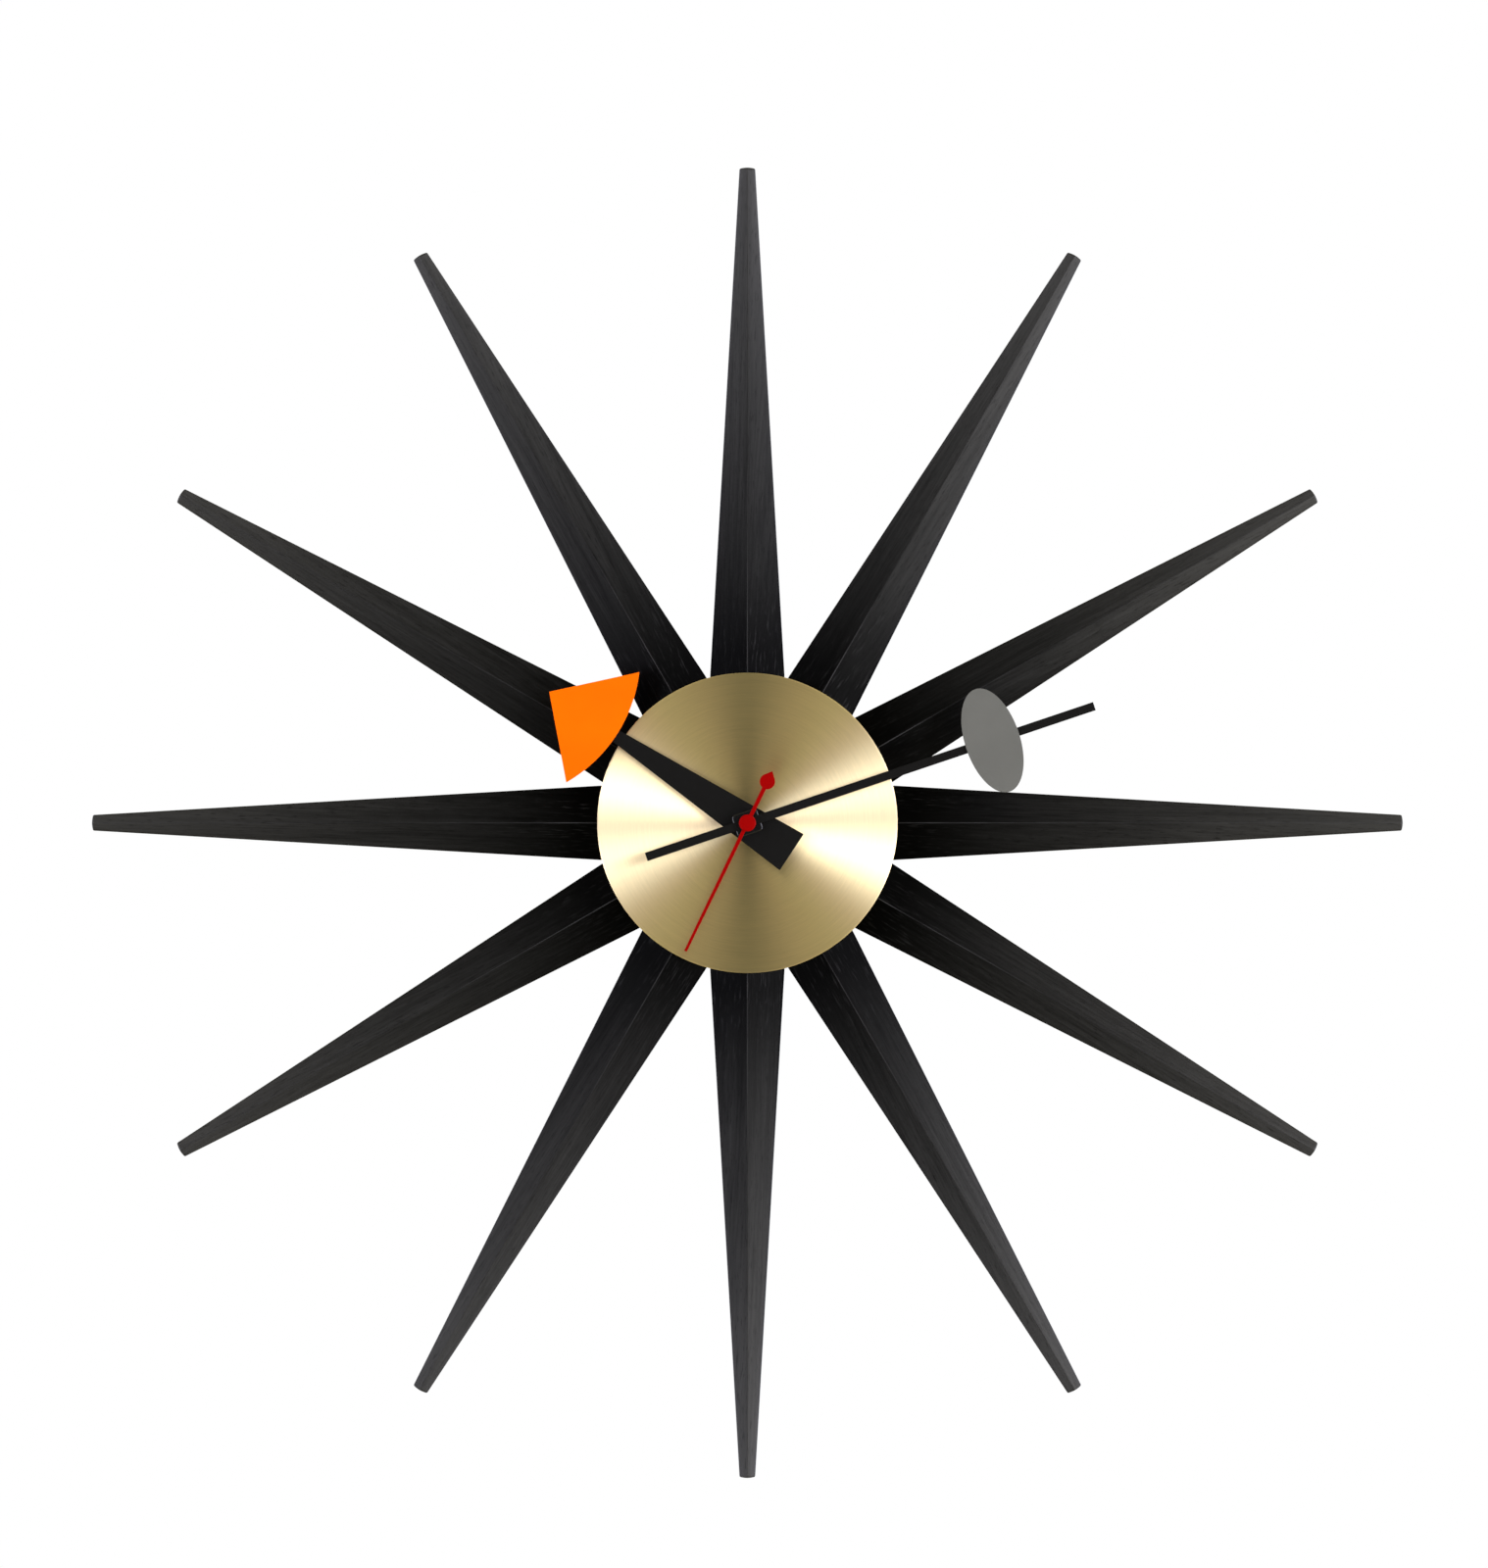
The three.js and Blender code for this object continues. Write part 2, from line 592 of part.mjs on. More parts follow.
// Where each arbor stands: every distance is half the sum of the two tooth counts times the module.
function trainAxes() {
  const step = (from, teeth, module, direction) =>
    polar((teeth * module) / 2, radians(direction)).add(from);
  const centre = new THREE.Vector2(0, 0);
  const fifth = step(centre, TEETH.fifthPinion + TEETH.second, MODULE.second, DIRECTION.fifth);
  const rotor = step(fifth, TEETH.rotor + TEETH.fifth, MODULE.rotor, DIRECTION.rotor);
  const third = step(centre, TEETH.secondPinion + TEETH.third, MODULE.third, DIRECTION.third);
  const motion = step(centre, TEETH.cannon + TEETH.motion, MODULE.cannon, DIRECTION.motion);
  const setting = step(motion, TEETH.motion + TEETH.setting, MODULE.cannon, DIRECTION.setting);
  return { centre, fifth, rotor, third, motion, setting };
}

// Toothed outline with a tooth pointing along the angle phase.
function toothedOutline(teeth, module, phase) {
  const pitch = TURN / teeth;
  const crest = module * (teeth / 2 + TOOTH.crest);
  const root = module * (teeth / 2 - TOOTH.root);
  const points = [];
  for (let i = 0; i < teeth; i++) {
    const middle = phase + i * pitch;
    points.push(polar(root, middle - TOOTH.rootHalf * pitch));
    points.push(polar(crest, middle - TOOTH.crestHalf * pitch));
    points.push(polar(crest, middle + TOOTH.crestHalf * pitch));
    points.push(polar(root, middle + TOOTH.rootHalf * pitch));
  }
  return new THREE.Shape(points);
}

const toothed = (teeth, module, phase, level) =>
  plate(toothedOutline(teeth, module, phase), ...level);
const arbor = ({ radius, rear, front }) => rod(radius, rear, front, 8);

// Phase of a wheel whose gap meets the tooth of its driver, along the line of centres.
function matePhase(direction, driverPhase, driverTeeth, teeth) {
  return direction + Math.PI - ((driverPhase - direction) * driverTeeth + Math.PI) / teeth;
}

// A driver has a tooth on the line of centres, unless it says otherwise.
function meshed(from, to, driverTeeth, teeth, driverPhase) {
  const direction = to.clone().sub(from).angle();
  const phase = driverPhase ?? direction;
  return { driver: phase, driven: matePhase(direction, phase, driverTeeth, teeth) };
}

function rotorGeometry() {
  const { driver } = meshed(axis.rotor, axis.fifth, TEETH.rotor, TEETH.fifth);
  const pinion = toothed(TEETH.rotor, MODULE.rotor, driver, LEVEL.rotorPinion);
  const magnet = rod(MAGNET.radius, MAGNET.rear, MAGNET.front, 16);
  return join(pinion, magnet, arbor(ARBOR.rotor));
}

function fifthGeometry() {
  const input = meshed(axis.rotor, axis.fifth, TEETH.rotor, TEETH.fifth);
  const output = meshed(axis.fifth, axis.centre, TEETH.fifthPinion, TEETH.second);
  const wheel = toothed(TEETH.fifth, MODULE.rotor, input.driven, LEVEL.fifthWheel);
  const pinion = toothed(TEETH.fifthPinion, MODULE.second, output.driver, LEVEL.fifthPinion);
  return join(wheel, pinion, arbor(ARBOR.fifth));
}

function secondWheelGeometry() {
  const input = meshed(axis.fifth, axis.centre, TEETH.fifthPinion, TEETH.second);
  const output = meshed(axis.centre, axis.third, TEETH.secondPinion, TEETH.third);
  const wheel = toothed(TEETH.second, MODULE.second, input.driven, LEVEL.secondWheel);
  const pinion = toothed(TEETH.secondPinion, MODULE.third, output.driver, LEVEL.secondPinion);
  return join(wheel, pinion, arbor(SECOND_ARBOR));
}

function thirdGeometry() {
  const input = meshed(axis.centre, axis.third, TEETH.secondPinion, TEETH.third);
  const output = meshed(axis.third, axis.centre, TEETH.thirdPinion, TEETH.centre);
  const wheel = toothed(TEETH.third, MODULE.third, input.driven, LEVEL.thirdWheel);
  const pinion = toothed(TEETH.thirdPinion, MODULE.centre, output.driver, LEVEL.thirdPinion);
  return join(wheel, pinion, arbor(ARBOR.third));
}

function centreGeometry() {
  const { driven } = meshed(axis.third, axis.centre, TEETH.thirdPinion, TEETH.centre);
  const wheel = toothed(TEETH.centre, MODULE.centre, driven, LEVEL.centreWheel);
  const [rear, front] = LEVEL.centreWheel;
  return cut(wheel, rod(CANNON_PIPE.radius + GAP, rear - PAST, front + PAST, 14));
}

const cannonMesh = meshed(axis.centre, axis.motion, TEETH.cannon, TEETH.motion);

function cannonGeometry() {
  const pipe = rod(CANNON_PIPE.radius, CANNON_PIPE.rear, CANNON_PIPE.front, 16);
  const pinion = toothed(TEETH.cannon, MODULE.cannon, cannonMesh.driver, LEVEL.cannonPinion);
  const bore = rod(CANNON_PIPE.bore, CANNON_PIPE.rear - PAST, CANNON_PIPE.front + PAST, 12);
  return cut(join(pipe, pinion), bore);
}

function motionGeometry() {
  const output = meshed(axis.motion, axis.centre, TEETH.motionPinion, TEETH.hour);
  const wheel = toothed(TEETH.motion, MODULE.cannon, cannonMesh.driven, LEVEL.motionWheel);
  const pinion = toothed(TEETH.motionPinion, MODULE.hour, output.driver, LEVEL.motionPinion);
  return join(wheel, pinion, arbor(ARBOR.motion));
}

function hourWheelGeometry() {
  const { driven } = meshed(axis.motion, axis.centre, TEETH.motionPinion, TEETH.hour);
  const wheel = toothed(TEETH.hour, MODULE.hour, driven, LEVEL.hourWheel);
  const pipe = rod(HOUR_PIPE.radius, HOUR_PIPE.rear, HOUR_PIPE.front, 20);
  return cut(join(wheel, pipe), rod(HOUR_PIPE.bore, HOUR_PIPE.rear - PAST, HOUR_PIPE.front + PAST, 16));
}

// Setting knob behind the lid, on a stem that ends in a pinion on the motion wheel.
function knobGeometry() {
  const { driven } = meshed(
    axis.motion, axis.setting, TEETH.motion, TEETH.setting, cannonMesh.driven);
  const head = plate(flutedOutline(), KNOB.rear, KNOB.front);
  const pinion = toothed(TEETH.setting, MODULE.cannon, driven, LEVEL.settingPinion);
  return join(head, pinion, rod(KNOB.stem, (KNOB.rear + KNOB.front) / 2, KNOB.stemFront, 12));
}

function flutedOutline() {
  const steps = 4 * KNOB.flutes;
  const points = Array.from({ length: steps }, (_, i) =>
    polar(KNOB.radius - (i % 4 < 2 ? KNOB.fluteDepth : 0), (i * TURN) / steps));
  return new THREE.Shape(points);
}

// Moulded plate that carries the arbors between the going train and the motion work.
function trainPlateGeometry() {
  const { left, right, low, high, corner, rear, front } = TRAIN_PLATE;
  const [x, y] = [(left + right) / 2, (low + high) / 2];
  const outline = roundedRectangle(right - left, high - low, corner, x, y);
  outline.holes.push(circle(CANNON_PIPE.radius + GAP));
  outline.holes.push(circle(KNOB.stem + GAP, axis.setting.x, axis.setting.y));
  return plate(outline, rear, front, 4);
}

// ---------------------------------------------------------------- hands

// Every hand is drawn pointing up, along +y, and turned to its time.
const handGroup = (time) => group(0, 0, -radians(time));

function hourBarGeometry() {
  const halfWidth = (y) => (HOUR_HAND.tailWidth - HOUR_HAND.taper * (y + HOUR_HAND.tail)) / 2;
  const outline = new THREE.Shape([
    new THREE.Vector2(-halfWidth(-HOUR_HAND.tail), -HOUR_HAND.tail),
    new THREE.Vector2(halfWidth(-HOUR_HAND.tail), -HOUR_HAND.tail),
    new THREE.Vector2(halfWidth(HOUR_HAND.tip), HOUR_HAND.tip),
    new THREE.Vector2(-halfWidth(HOUR_HAND.tip), HOUR_HAND.tip),
  ]);
  outline.holes.push(circle(HOUR_PIPE.radius + GAP));
  return plate(outline, HOUR_HAND.rear, HOUR_HAND.rear + HOUR_HAND.sheet, 5);
}

// Right-angled flag whose inner side is an arc through both shoulders and the nose.
function flagGeometry() {
  const rise = FLAG.shoulder - FLAG.nose;
  const arcRadius = (FLAG.halfWidth ** 2 + rise ** 2) / (2 * rise);
  const arcCentre = FLAG.nose + arcRadius;
  const half = Math.asin(FLAG.halfWidth / arcRadius);
  const outline = new THREE.Shape();
  outline.absarc(0, arcCentre, arcRadius, -RIGHT_ANGLE - half, -RIGHT_ANGLE + half);
  outline.lineTo(0, FLAG.corner);
  const rear = HOUR_HAND.rear + HOUR_HAND.sheet + GAP;
  return plate(outline, rear, rear + HOUR_HAND.sheet, 12);
}

function minuteBarGeometry() {
  const half = MINUTE_HAND.width / 2;
  const rear = MINUTE_HAND.rear;
  const front = rear + MINUTE_HAND.sheet;
  const bar = block(-half, half, -MINUTE_HAND.tail, MINUTE_HAND.tip, rear, front);
  const disc = rod(MINUTE_HAND.boss, rear, front, 18);
  return cut(join(bar, disc), rod(CANNON_PIPE.radius + GAP, rear - PAST, front + PAST, 14));
}

function ovalGeometry() {
  const outline = new THREE.Shape();
  outline.absellipse(0, OVAL.centre, OVAL.halfAcross, OVAL.halfAlong, 0, TURN);
  const rear = MINUTE_HAND.rear + MINUTE_HAND.sheet + GAP;
  return plate(outline, rear, rear + MINUTE_HAND.sheet, 20);
}

function hubPlateGeometry() {
  const outline = roundedRectangle(HUB_PLATE.width, HUB_PLATE.length, HUB_PLATE.corner);
  outline.holes.push(circle(CANNON_PIPE.radius + GAP));
  return plate(outline, HUB_PLATE.rear, HUB_PLATE.front, 4);
}

// Needle, round hub and leaf-shaped counterweight in one piece, with a blind bore for the arbor.
function secondHandGeometry() {
  const { rear, front, tip, hubWidth, tipWidth, leaf, leafRadius, leafPoint } = SECOND_HAND;
  const needle = new THREE.Shape([
    new THREE.Vector2(-hubWidth / 2, -leaf),
    new THREE.Vector2(hubWidth / 2, -leaf),
    new THREE.Vector2(tipWidth / 2, tip),
    new THREE.Vector2(-tipWidth / 2, tip),
  ]);
  const tangent = Math.acos(leafRadius / (leafPoint - leaf));
  const leafOutline = new THREE.Shape();
  leafOutline.absarc(0, -leaf, leafRadius, tangent - RIGHT_ANGLE, TURN - RIGHT_ANGLE - tangent);
  leafOutline.lineTo(0, -leafPoint);
  const hub = rod(SECOND_HAND.hub, SECOND_HAND.hubRear, SECOND_HAND.hubFront, 24);
  const whole = join(plate(needle, rear, front), plate(leafOutline, rear, front, 12), hub);
  const boreRear = SECOND_HAND.hubRear - PAST;
  const bore = rod(SECOND_ARBOR.radius + GAP, boreRear, SECOND_ARBOR.front + GAP, 10);
  return cut(whole, bore);
}

// ---------------------------------------------------------------- assembly

addRays();
add("hub_drum", drumGeometry(), MATERIAL.blackSteel);
add("dial", dialGeometry(), MATERIAL.brass);
addStudNuts();
add("hanger_plate", hangerGeometry(), MATERIAL.steel);
addHangerScrews();

add("movement_case", caseGeometry(), MATERIAL.casePlastic);
add("movement_lid", lidGeometry(), MATERIAL.casePlastic);
addFixing();
add("battery_cell", cellGeometry(), MATERIAL.cellWrap);
add("battery_contact_positive", contactGeometry(1), MATERIAL.steel);
add("battery_contact_negative", contactGeometry(-1), MATERIAL.steel);
add("circuit_board", boardGeometry(), MATERIAL.board);
add("quartz_crystal", crystalGeometry(), MATERIAL.steel);
add("stator", statorGeometry(), MATERIAL.steel);
add("coil", coilGeometry(), MATERIAL.copper);
add("train_plate", trainPlateGeometry(), MATERIAL.whitePlastic);

const at = ({ x, y }) => group(x, y);
add("rotor", rotorGeometry(), MATERIAL.magnet, at(axis.rotor));
add("fifth_wheel", fifthGeometry(), MATERIAL.whitePlastic, at(axis.fifth));
add("second_wheel", secondWheelGeometry(), MATERIAL.gearBrass);
add("third_wheel", thirdGeometry(), MATERIAL.whitePlastic, at(axis.third));
add("centre_wheel", centreGeometry(), MATERIAL.gearBrass);
add("cannon_pinion", cannonGeometry(), MATERIAL.gearBrass);
add("motion_wheel", motionGeometry(), MATERIAL.whitePlastic, at(axis.motion));
add("hour_wheel", hourWheelGeometry(), MATERIAL.whitePlastic);
add("setting_knob", knobGeometry(), MATERIAL.whitePlastic, at(axis.setting));

const hourHand = handGroup(TIME.hour);
add("hour_hand_bar", hourBarGeometry(), MATERIAL.handBlack, hourHand);
add("hour_hand_flag", flagGeometry(), MATERIAL.orange, hourHand);
const minuteHand = handGroup(TIME.minute);
add("minute_hand_bar", minuteBarGeometry(), MATERIAL.handBlack, minuteHand);
add("minute_hand_oval", ovalGeometry(), MATERIAL.grey, minuteHand);
add("minute_hub_plate", hubPlateGeometry(), MATERIAL.handBlack, minuteHand);
add("second_hand", secondHandGeometry(), MATERIAL.red, handGroup(TIME.second));

export default clock;
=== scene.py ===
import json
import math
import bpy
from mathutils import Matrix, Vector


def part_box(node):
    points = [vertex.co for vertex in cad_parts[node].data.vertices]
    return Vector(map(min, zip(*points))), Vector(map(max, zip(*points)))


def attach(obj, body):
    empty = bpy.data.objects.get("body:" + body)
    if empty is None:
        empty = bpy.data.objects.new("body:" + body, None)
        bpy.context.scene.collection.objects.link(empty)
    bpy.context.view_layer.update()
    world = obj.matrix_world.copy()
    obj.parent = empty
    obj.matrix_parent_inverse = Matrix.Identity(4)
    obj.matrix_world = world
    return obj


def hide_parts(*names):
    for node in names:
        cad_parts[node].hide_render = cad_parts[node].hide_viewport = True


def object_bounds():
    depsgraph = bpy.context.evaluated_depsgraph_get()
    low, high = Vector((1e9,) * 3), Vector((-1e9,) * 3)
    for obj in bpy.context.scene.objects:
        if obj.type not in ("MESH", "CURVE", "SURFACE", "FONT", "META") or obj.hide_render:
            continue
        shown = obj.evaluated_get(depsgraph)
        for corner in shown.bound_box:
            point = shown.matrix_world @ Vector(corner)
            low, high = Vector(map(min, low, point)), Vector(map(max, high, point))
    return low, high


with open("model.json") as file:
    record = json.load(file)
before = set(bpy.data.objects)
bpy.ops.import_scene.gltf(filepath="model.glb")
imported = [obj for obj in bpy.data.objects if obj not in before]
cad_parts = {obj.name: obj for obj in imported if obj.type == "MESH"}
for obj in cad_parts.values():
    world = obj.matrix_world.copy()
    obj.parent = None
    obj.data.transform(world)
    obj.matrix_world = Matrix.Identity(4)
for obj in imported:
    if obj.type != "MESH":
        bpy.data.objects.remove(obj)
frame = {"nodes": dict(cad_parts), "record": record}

# Sunburst wall clock: black ash rays around a brushed brass dial, three hands and a battery movement.
#
# Outlines are drawn in metres with x to the right, y up and z out of the wall, and the hands' axis at
# the origin. TO_PART turns that drawing frame into the part's own frame.
from types import SimpleNamespace as Sizes

import bmesh
import bpy
from mathutils import Matrix, Vector

MM = 0.001
TURN = 2 * math.pi
RIGHT_ANGLE = math.pi / 2

# Points closer than SAME_POINT are one point, a corner wider than STRAIGHT is none, and an edge that bends
# less than SMOOTH_BELOW is shaded smooth.
SAME_POINT = 1e-6
STRAIGHT = math.radians(179.9)
SMOOTH_BELOW = math.radians(35)

cad_low, cad_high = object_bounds()
dial_low, dial_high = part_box("dial")
AXIS = Vector(((dial_low.x + dial_high.x) / 2, 0, (dial_low.z + dial_high.z) / 2))
TO_PART = Matrix.Translation(AXIS) @ Matrix.Rotation(RIGHT_ANGLE, 4, "X")
TO_DRAWING = TO_PART.inverted()

# ------------ sizes

GAP = 0.3 * MM
RAY = Sizes(count=12, root=43.3 * MM, tip=cad_high.x - AXIS.x, width_radius=55.5 * MM, root_width=26.3 * MM,
            taper=0.1156, drum=43 * MM, rear=13 * MM, rear_rise=0.013, edge=25.2 * MM, edge_fall=0.026,
            slope=0.4, shoulder=2.6 * MM, dome=0.25 * MM, tip_round=0.55 * MM,
            edge_round=1.0 * MM, ridge_round=0.25 * MM, rear_round=0.5 * MM, crown=0.14 * MM,
            tip_flattening=0.8)
GRAIN = Sizes(lean=0.7, step_along=0.37, step_across=0.083)
RAY_SCREW = Sizes(height=19 * MM, head=3.2 * MM, head_length=2 * MM, shank=1.6 * MM, hole=2.05 * MM,
                  point=58 * MM, head_front=40.7 * MM, pitch=1.3 * MM, core=0.78, plain=3 * MM, taper=4 * MM,
                  slot_width=0.7 * MM, slot_length=3.4 * MM, slot_depth=1.2 * MM)
DRUM = Sizes(radius=43 * MM, wall=2 * MM, front_wall=1.5 * MM, bore=4.3 * MM, nose=2 * MM,
             stud_hole=1.8 * MM)
DIAL = Sizes(sheet=0.8 * MM, edge=0.55 * MM, bore=4.4 * MM, rim=2.6 * MM, stud_circle=36.5 * MM)
STUD = Sizes(count=3, radius=1.5 * MM, pitch=0.5 * MM, plain=0.6 * MM, thread_depth=0.18 * MM,
             end_taper=0.2 * MM)
STUD_NUT = Sizes(across_flats=5.5 * MM, hole=1.8 * MM, edge=0.25 * MM)
LUG = Sizes(x=27.4 * MM, y=25.6 * MM, radius=4 * MM, rear=3.3 * MM, front=8.6 * MM, hole=1.5 * MM)
HANGER = Sizes(radius=40.6 * MM, lower_edge=20.5 * MM, entry=26.5 * MM, entry_radius=4.6 * MM,
               slot_top=35.2 * MM, slot_radius=2.4 * MM)
LUG_SCREW = Sizes(head=2.7 * MM, head_length=1.2 * MM, shank=1.2 * MM, slot_width=0.6 * MM,
                  slot_length=3 * MM, slot_depth=1.1 * MM)
CASE = Sizes(half=28 * MM, corner=3 * MM, wall=1.4 * MM, divider=-9.2 * MM, bay_top=-10.4 * MM,
             front=25 * MM, bushing=4 * MM, bushing_bore=2.8 * MM)
LID = Sizes(corner=1.5 * MM, stem_gap=0.6 * MM, dish=7.2 * MM, dish_floor=6.6 * MM, dish_depth=0.45 * MM,
            panel_left=-24 * MM, panel_right=-2 * MM, panel_low=-6 * MM, panel_high=24 * MM,
            panel_depth=0.3 * MM)
CELL = Sizes(radius=7.25 * MM, y=-18.5 * MM, z=16.05 * MM, nub=2.6 * MM, nub_length=1.3 * MM,
             left_rim=4.8 * MM, left_pole=4.4 * MM, left_sunk=0.25 * MM,
             right_rim=6.1 * MM, right_pole=5.8 * MM, right_sunk=0.3 * MM)
KNOB = Sizes(stem=1.2 * MM, dish=3.5 * MM, depth=0.7 * MM, bar=1.2 * MM)
HOUR_BAR = Sizes(tail=19 * MM, tail_width=15.5 * MM, taper=0.144, tip=66 * MM, hole=2.8 * MM)
FLAG = Sizes(corner=84.9 * MM, shoulder=61.9 * MM, half_width=23.65 * MM, nose=56.3 * MM)
MINUTE_BAR = Sizes(tail=38.1 * MM, tip=130.7 * MM, half_width=1.55 * MM, boss=3 * MM, hole=1.8 * MM)
OVAL = Sizes(centre=92.3 * MM, half_across=19.3 * MM, half_along=9.8 * MM)
HUB_PLATE = Sizes(width=8.2 * MM, length=9.4 * MM, corner=1.3 * MM, edge=0.3 * MM)
SECOND_HAND = Sizes(rear=44.2 * MM, front=44.8 * MM, tip=50.8 * MM, hub_width=1.5 * MM, tip_width=1 * MM,
                    hub=3.05 * MM, hub_rear=43.6 * MM, hub_front=45.4 * MM, leaf=16.4 * MM,
                    leaf_radius=2.75 * MM, leaf_point=20.5 * MM, bore=0.8 * MM)
FLOOR = Sizes(radius=24, drop=1.5)
CAMERA = Sizes(distance=6, left=1.2 * MM, above=13.9 * MM, view_height=0.5638, sensor=36)


def heights(node):
    """Rear and front of a CAD node, as heights above the wall."""
    low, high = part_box(node)
    return -high.y, -low.y


def box_middle(node):
    """Middle of a CAD node's box in the drawing's plane."""
    low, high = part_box(node)
    return (TO_DRAWING @ ((low + high) / 2)).xy


def direction(node):
    """Angle clockwise from twelve of the point of a CAD node that lies furthest from the axis."""
    points = [(TO_DRAWING @ vertex.co).xy for vertex in frame["nodes"][node].data.vertices]
    reach = max(point.length for point in points)
    tip = sum((point for point in points if point.length > reach - 0.05 * MM), Vector((0, 0)))
    return math.atan2(tip.x, tip.y)


# ------------ outlines

def arc(centre_x, centre_y, radius, start, end, steps):
    angles = (start + (end - start) * i / steps for i in range(steps + 1))
    return [(centre_x + radius * math.cos(a), centre_y + radius * math.sin(a)) for a in angles]


def circle(radius, x=0.0, y=0.0, steps=48):
    return arc(x, y, radius, 0, TURN, steps)[:-1]


def filleted(corners, steps=4):
    """A closed outline from (x, y, radius) corners, each rounded by an arc of its radius."""
    outline = []
    for i, (x, y, radius) in enumerate(corners):
        corner = Vector((x, y))
        if not radius:
            outline.append((x, y))
            continue
        before = (Vector(corners[i - 1][:2]) - corner).normalized()
        after = (Vector(corners[(i + 1) % len(corners)][:2]) - corner).normalized()
        half = before.angle(after) / 2
        centre = corner + (before + after).normalized() * radius / math.sin(half)
        start = corner + before * radius / math.tan(half) - centre
        end = corner + after * radius / math.tan(half) - centre
        swing = start.angle(end)
        for k in range(steps + 1):
            share = k / steps
            spoke = start * math.sin((1 - share) * swing) + end * math.sin(share * swing)
            outline.append(tuple(centre + spoke / math.sin(swing)))
    return outline


def rectangle(left, right, low, high, corner=0.0):
    return filleted([(left, low, corner), (right, low, corner), (right, high, corner), (left, high, corner)])


def regular_polygon(sides, across_flats):
    return circle(across_flats / 2 / math.cos(math.pi / sides), steps=sides)


# ------------ meshes

def finished(shape):
    """The mesh of a bmesh, its faces pointing out, smooth but for its sharp edges."""
    bmesh.ops.remove_doubles(shape, verts=shape.verts, dist=SAME_POINT)
    bmesh.ops.recalc_face_normals(shape, faces=shape.faces)
    mesh = bpy.data.meshes.new("piece")
    shape.to_mesh(mesh)
    shape.free()
    mesh.shade_smooth()
    mesh.set_sharp_from_angle(angle=SMOOTH_BELOW)
    return mesh


def plate(outline, rear, front, edge=0.12 * MM, holes=(), edge_steps=2):
    """A flat outline with holes between two heights, its edges rounded by the given radius."""
    curve = bpy.data.curves.new("outline", "CURVE")
    curve.dimensions = "2D"
    curve.fill_mode = "BOTH"
    curve.extrude = (front - rear) / 2 - edge
    curve.bevel_depth = edge
    curve.bevel_resolution = edge_steps
    curve.offset = -edge
    for points in (outline, *holes):
        spline = curve.splines.new("POLY")
        spline.points.add(len(points) - 1)
        spline.use_cyclic_u = True
        for point, (x, y) in zip(spline.points, points):
            point.co = (x, y, 0, 1)
    holder = bpy.data.objects.new("outline", curve)
    flat = bpy.data.meshes.new_from_object(holder)
    bpy.data.objects.remove(holder)
    shape = bmesh.new()
    shape.from_mesh(flat)
    bmesh.ops.translate(shape, verts=shape.verts, vec=(0, 0, (rear + front) / 2))
    return finished(shape)


def turned(profile, segments=96):
    """A profile of (radius, z) points turned about the z axis. It ends on the axis or closes on itself."""
    shape = bmesh.new()
    rings = []
    for radius, z in profile:
        on_axis = radius < SAME_POINT
        points = [(0.0, 0.0)] if on_axis else circle(radius, steps=segments)
        rings.append([shape.verts.new((x, y, z)) for x, y in points])
    closed = len(rings[0]) > 1 and len(rings[-1]) > 1
    for ring, following in zip(rings, rings[1:] + (rings[:1] if closed else [])):
        for i in range(segments):
            j = (i + 1) % segments
            corners = [ring[i % len(ring)], ring[j % len(ring)], following[j % len(following)],
                       following[i % len(following)]]
            face = list(dict.fromkeys(corners))
            if len(face) > 2:
                shape.faces.new(face)
    return finished(shape)


def rod(radius, rear, front, edge=0.15 * MM, segments=32):
    """A round bar along z with its two rims rounded."""
    corners = [(0, rear, 0), (radius, rear, edge), (radius, front, edge), (0, front, 0)]
    return turned(filleted(corners), segments)


def block(left, right, low, high, rear, front, edge=0.0):
    """A box, with its edges bevelled where an edge radius is given."""
    shape = bmesh.new()
    bmesh.ops.create_cube(shape, size=1)
    size = Vector((right - left, high - low, front - rear))
    middle = Vector((left + right, low + high, rear + front)) / 2
    bmesh.ops.scale(shape, verts=shape.verts, vec=size)
    bmesh.ops.translate(shape, verts=shape.verts, vec=middle)
    if edge:
        bmesh.ops.bevel(shape, geom=shape.edges[:], offset=edge, segments=3, profile=0.5, affect="EDGES")
    return finished(shape)


def moved(mesh, x=0.0, y=0.0, z=0.0, turn=None):
    """The same mesh turned by a rotation matrix and then shifted."""
    mesh.transform(Matrix.Translation((x, y, z)) @ (turn or Matrix.Identity(4)))
    return mesh


def joined(meshes):
    """One mesh that holds several, left as separate shells."""
    shape = bmesh.new()
    for mesh in meshes:
        shape.from_mesh(mesh)
    return finished(shape)


def add_object(name, data):
    added = bpy.data.objects.new(name, data)
    bpy.context.scene.collection.objects.link(added)
    return added


def is_idle(point):
    """True for a point that only divides a straight edge."""
    if len(point.link_edges) != 2:
        return False
    one, other = (edge.other_vert(point).co - point.co for edge in point.link_edges)
    return one.angle(other, 0) > STRAIGHT


def without_slivers(mesh):
    """The mesh without the points and faces of no size that a boolean leaves behind."""
    shape = bmesh.new()
    shape.from_mesh(mesh)
    bmesh.ops.remove_doubles(shape, verts=shape.verts, dist=SAME_POINT)
    bmesh.ops.dissolve_degenerate(shape, edges=shape.edges[:], dist=SAME_POINT)
    bmesh.ops.dissolve_verts(shape, verts=[point for point in shape.verts if is_idle(point)])
    shape.to_mesh(mesh)
    shape.free()
    return mesh


